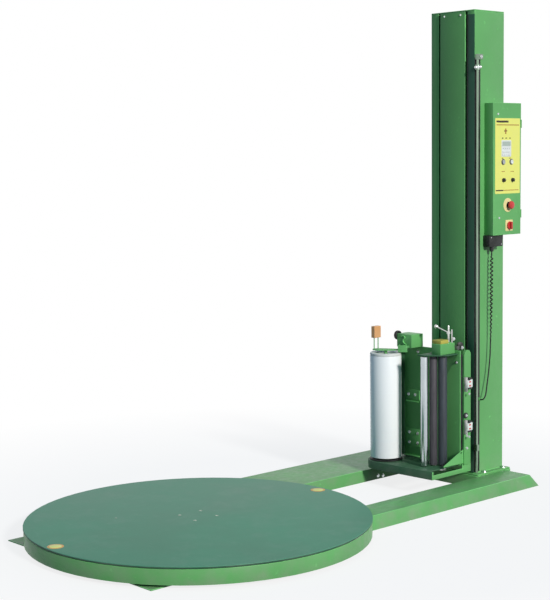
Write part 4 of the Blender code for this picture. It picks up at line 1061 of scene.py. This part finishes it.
# %% Cover posts and knobs
tall_post = turned(zinc, [(0.004, 0.774), (0.004, 0.808), (0.003, 0.81)],
                   (GATE_POST_X, GATE_POST_Y, 0))
settle(tall_post, "gate_post_tip", "gate_lever")
thin_post = turned(zinc, [(0.0034, 0.7262), (0.0034, 0.79), (0.0024, 0.7915)],
                   (1.434, -0.208, 0), sides=20)
settle(thin_post, "cover_post", "carriage")
bracket_screws = [screw(0.0058, (-0.6, -0.8, 0), 0.0012, (1.456, -0.2, 0.742)),
                  screw(0.0058, OUT, 0.0012, (1.464, -0.248, 0.703))]
settle(joined(bracket_screws), "bracket_screws", "carriage")
ribbed = [(0.009, 0), (0.015, 0.002), (0.016, 0.006), (0.015, 0.012), (0.0095, 0.0135)]
settle(turned(black, ribbed, (1.476, -0.22, 0.712), (-0.4, -0.9, 0.1), 12),
       "tension_knob", "carriage")
settle(block(dark_steel, (1.4505, -0.23, 0.69), (1.49, -0.19, 0.708), 0.0012),
       "tension_bracket", "carriage")
print("cover posts and knobs made")

# %% [markdown]
# ## Limit switches
# Two small switches on the carriage's side bar stop it at the ends of its travel. Their blocks
# take their places from the construction solid's box, so that one function makes both.
# %% Limit switches
SWITCH_END = 0.009  # the height of each black end
BAR_FACE = -0.2583


def limit_switch(name):
    """A pale housing between two black ends, on a plated bracket, with two red markings."""
    low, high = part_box(name)
    parts = [block(white_key, (low.x + 0.002, low.y, low.z + SWITCH_END),
                   (high.x - 0.001, high.y, high.z - SWITCH_END), 0.0012)]
    for foot in (low.z, high.z - SWITCH_END):
        parts.append(block(black, (low.x + 0.004, low.y + 0.001, foot),
                           (high.x - 0.004, high.y, foot + SWITCH_END), 0.001))
    for foot in (low.z + 0.014, low.z + 0.033):
        parts.append(block(red, (low.x + 0.01, low.y - 0.0004, foot),
                           (low.x + 0.024, low.y + 0.001, foot + 0.007), 0,
                           upright=("y", 0.001)))
    parts.append(turned(black, [(0.006, 0), (0.007, 0.001), (0.007, 0.004), (0.0055, 0.005)],
                        (low.x + 0.01, low.y, high.z - 0.004), OUT, 24))
    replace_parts(settle(joined(parts), name + "_detailed", "carriage"), name)
    arm = block(zinc, (low.x, low.y + 0.002, low.z - 0.012),
                (low.x + 0.002, high.y, high.z + 0.004), 0.0006)
    settle(arm, name + "_bracket", "carriage")
    fixing = screw(0.0042, OUT, 0.001, (low.x + 0.014, high.y - 0.024, low.z - 0.022))
    settle(fixing, name + "_screw", "carriage")


limit_switch("limit_switch_high")
limit_switch("limit_switch_low")
boss = turned(black, [(0.014, 0), (0.014, 0.005), (0.012, 0.007), (0.006, 0.007)],
              (1.476, BAR_FACE, 0.37), OUT)
settle(boss, "bar_boss", "carriage")
fasteners(screw(0.005, OUT, 0.001),
          [(1.476, -0.265, 0.37), (1.488, BAR_FACE, 0.268), (1.488, BAR_FACE, 0.206)],
          "bar_screws", "carriage")
print("limit switches made")

# %% [markdown]
# ## Roll flange and hinge spring
# A pale ring sits on the roll and keeps its edge square. It is a flat ring, made by drawing a
# circle's edge outwards, and then drawn up to its thickness. The arm's spring is bent wire: a
# short route along its turns, with the corners cut twice and a round bevel.
# %% Roll flange and hinge spring
ROLL_AXIS = (1.316, 0.119, 0)
flange = ring(nylon, 0.05, 0.0775, 0.6488, 0.6612, ROLL_AXIS)
settle(flange, "roll_flange", "film")
spring_points = [(1.37, 0.03, 0.702), (1.369, 0.042, 0.706), (1.3685, 0.052, 0.717),
                 (1.3685, 0.048, 0.728), (1.3685, 0.036, 0.733), (1.369, 0.042, 0.743),
                 (1.37, 0.056, 0.745), (1.371, 0.066, 0.74)]
# The spring takes the paler bend coat, partly a painted highlight.
tube("hinge_spring", rounded(spring_points), 0.0024, bend_wear_and_highlight, "carriage")
print("roll flange and hinge spring made")
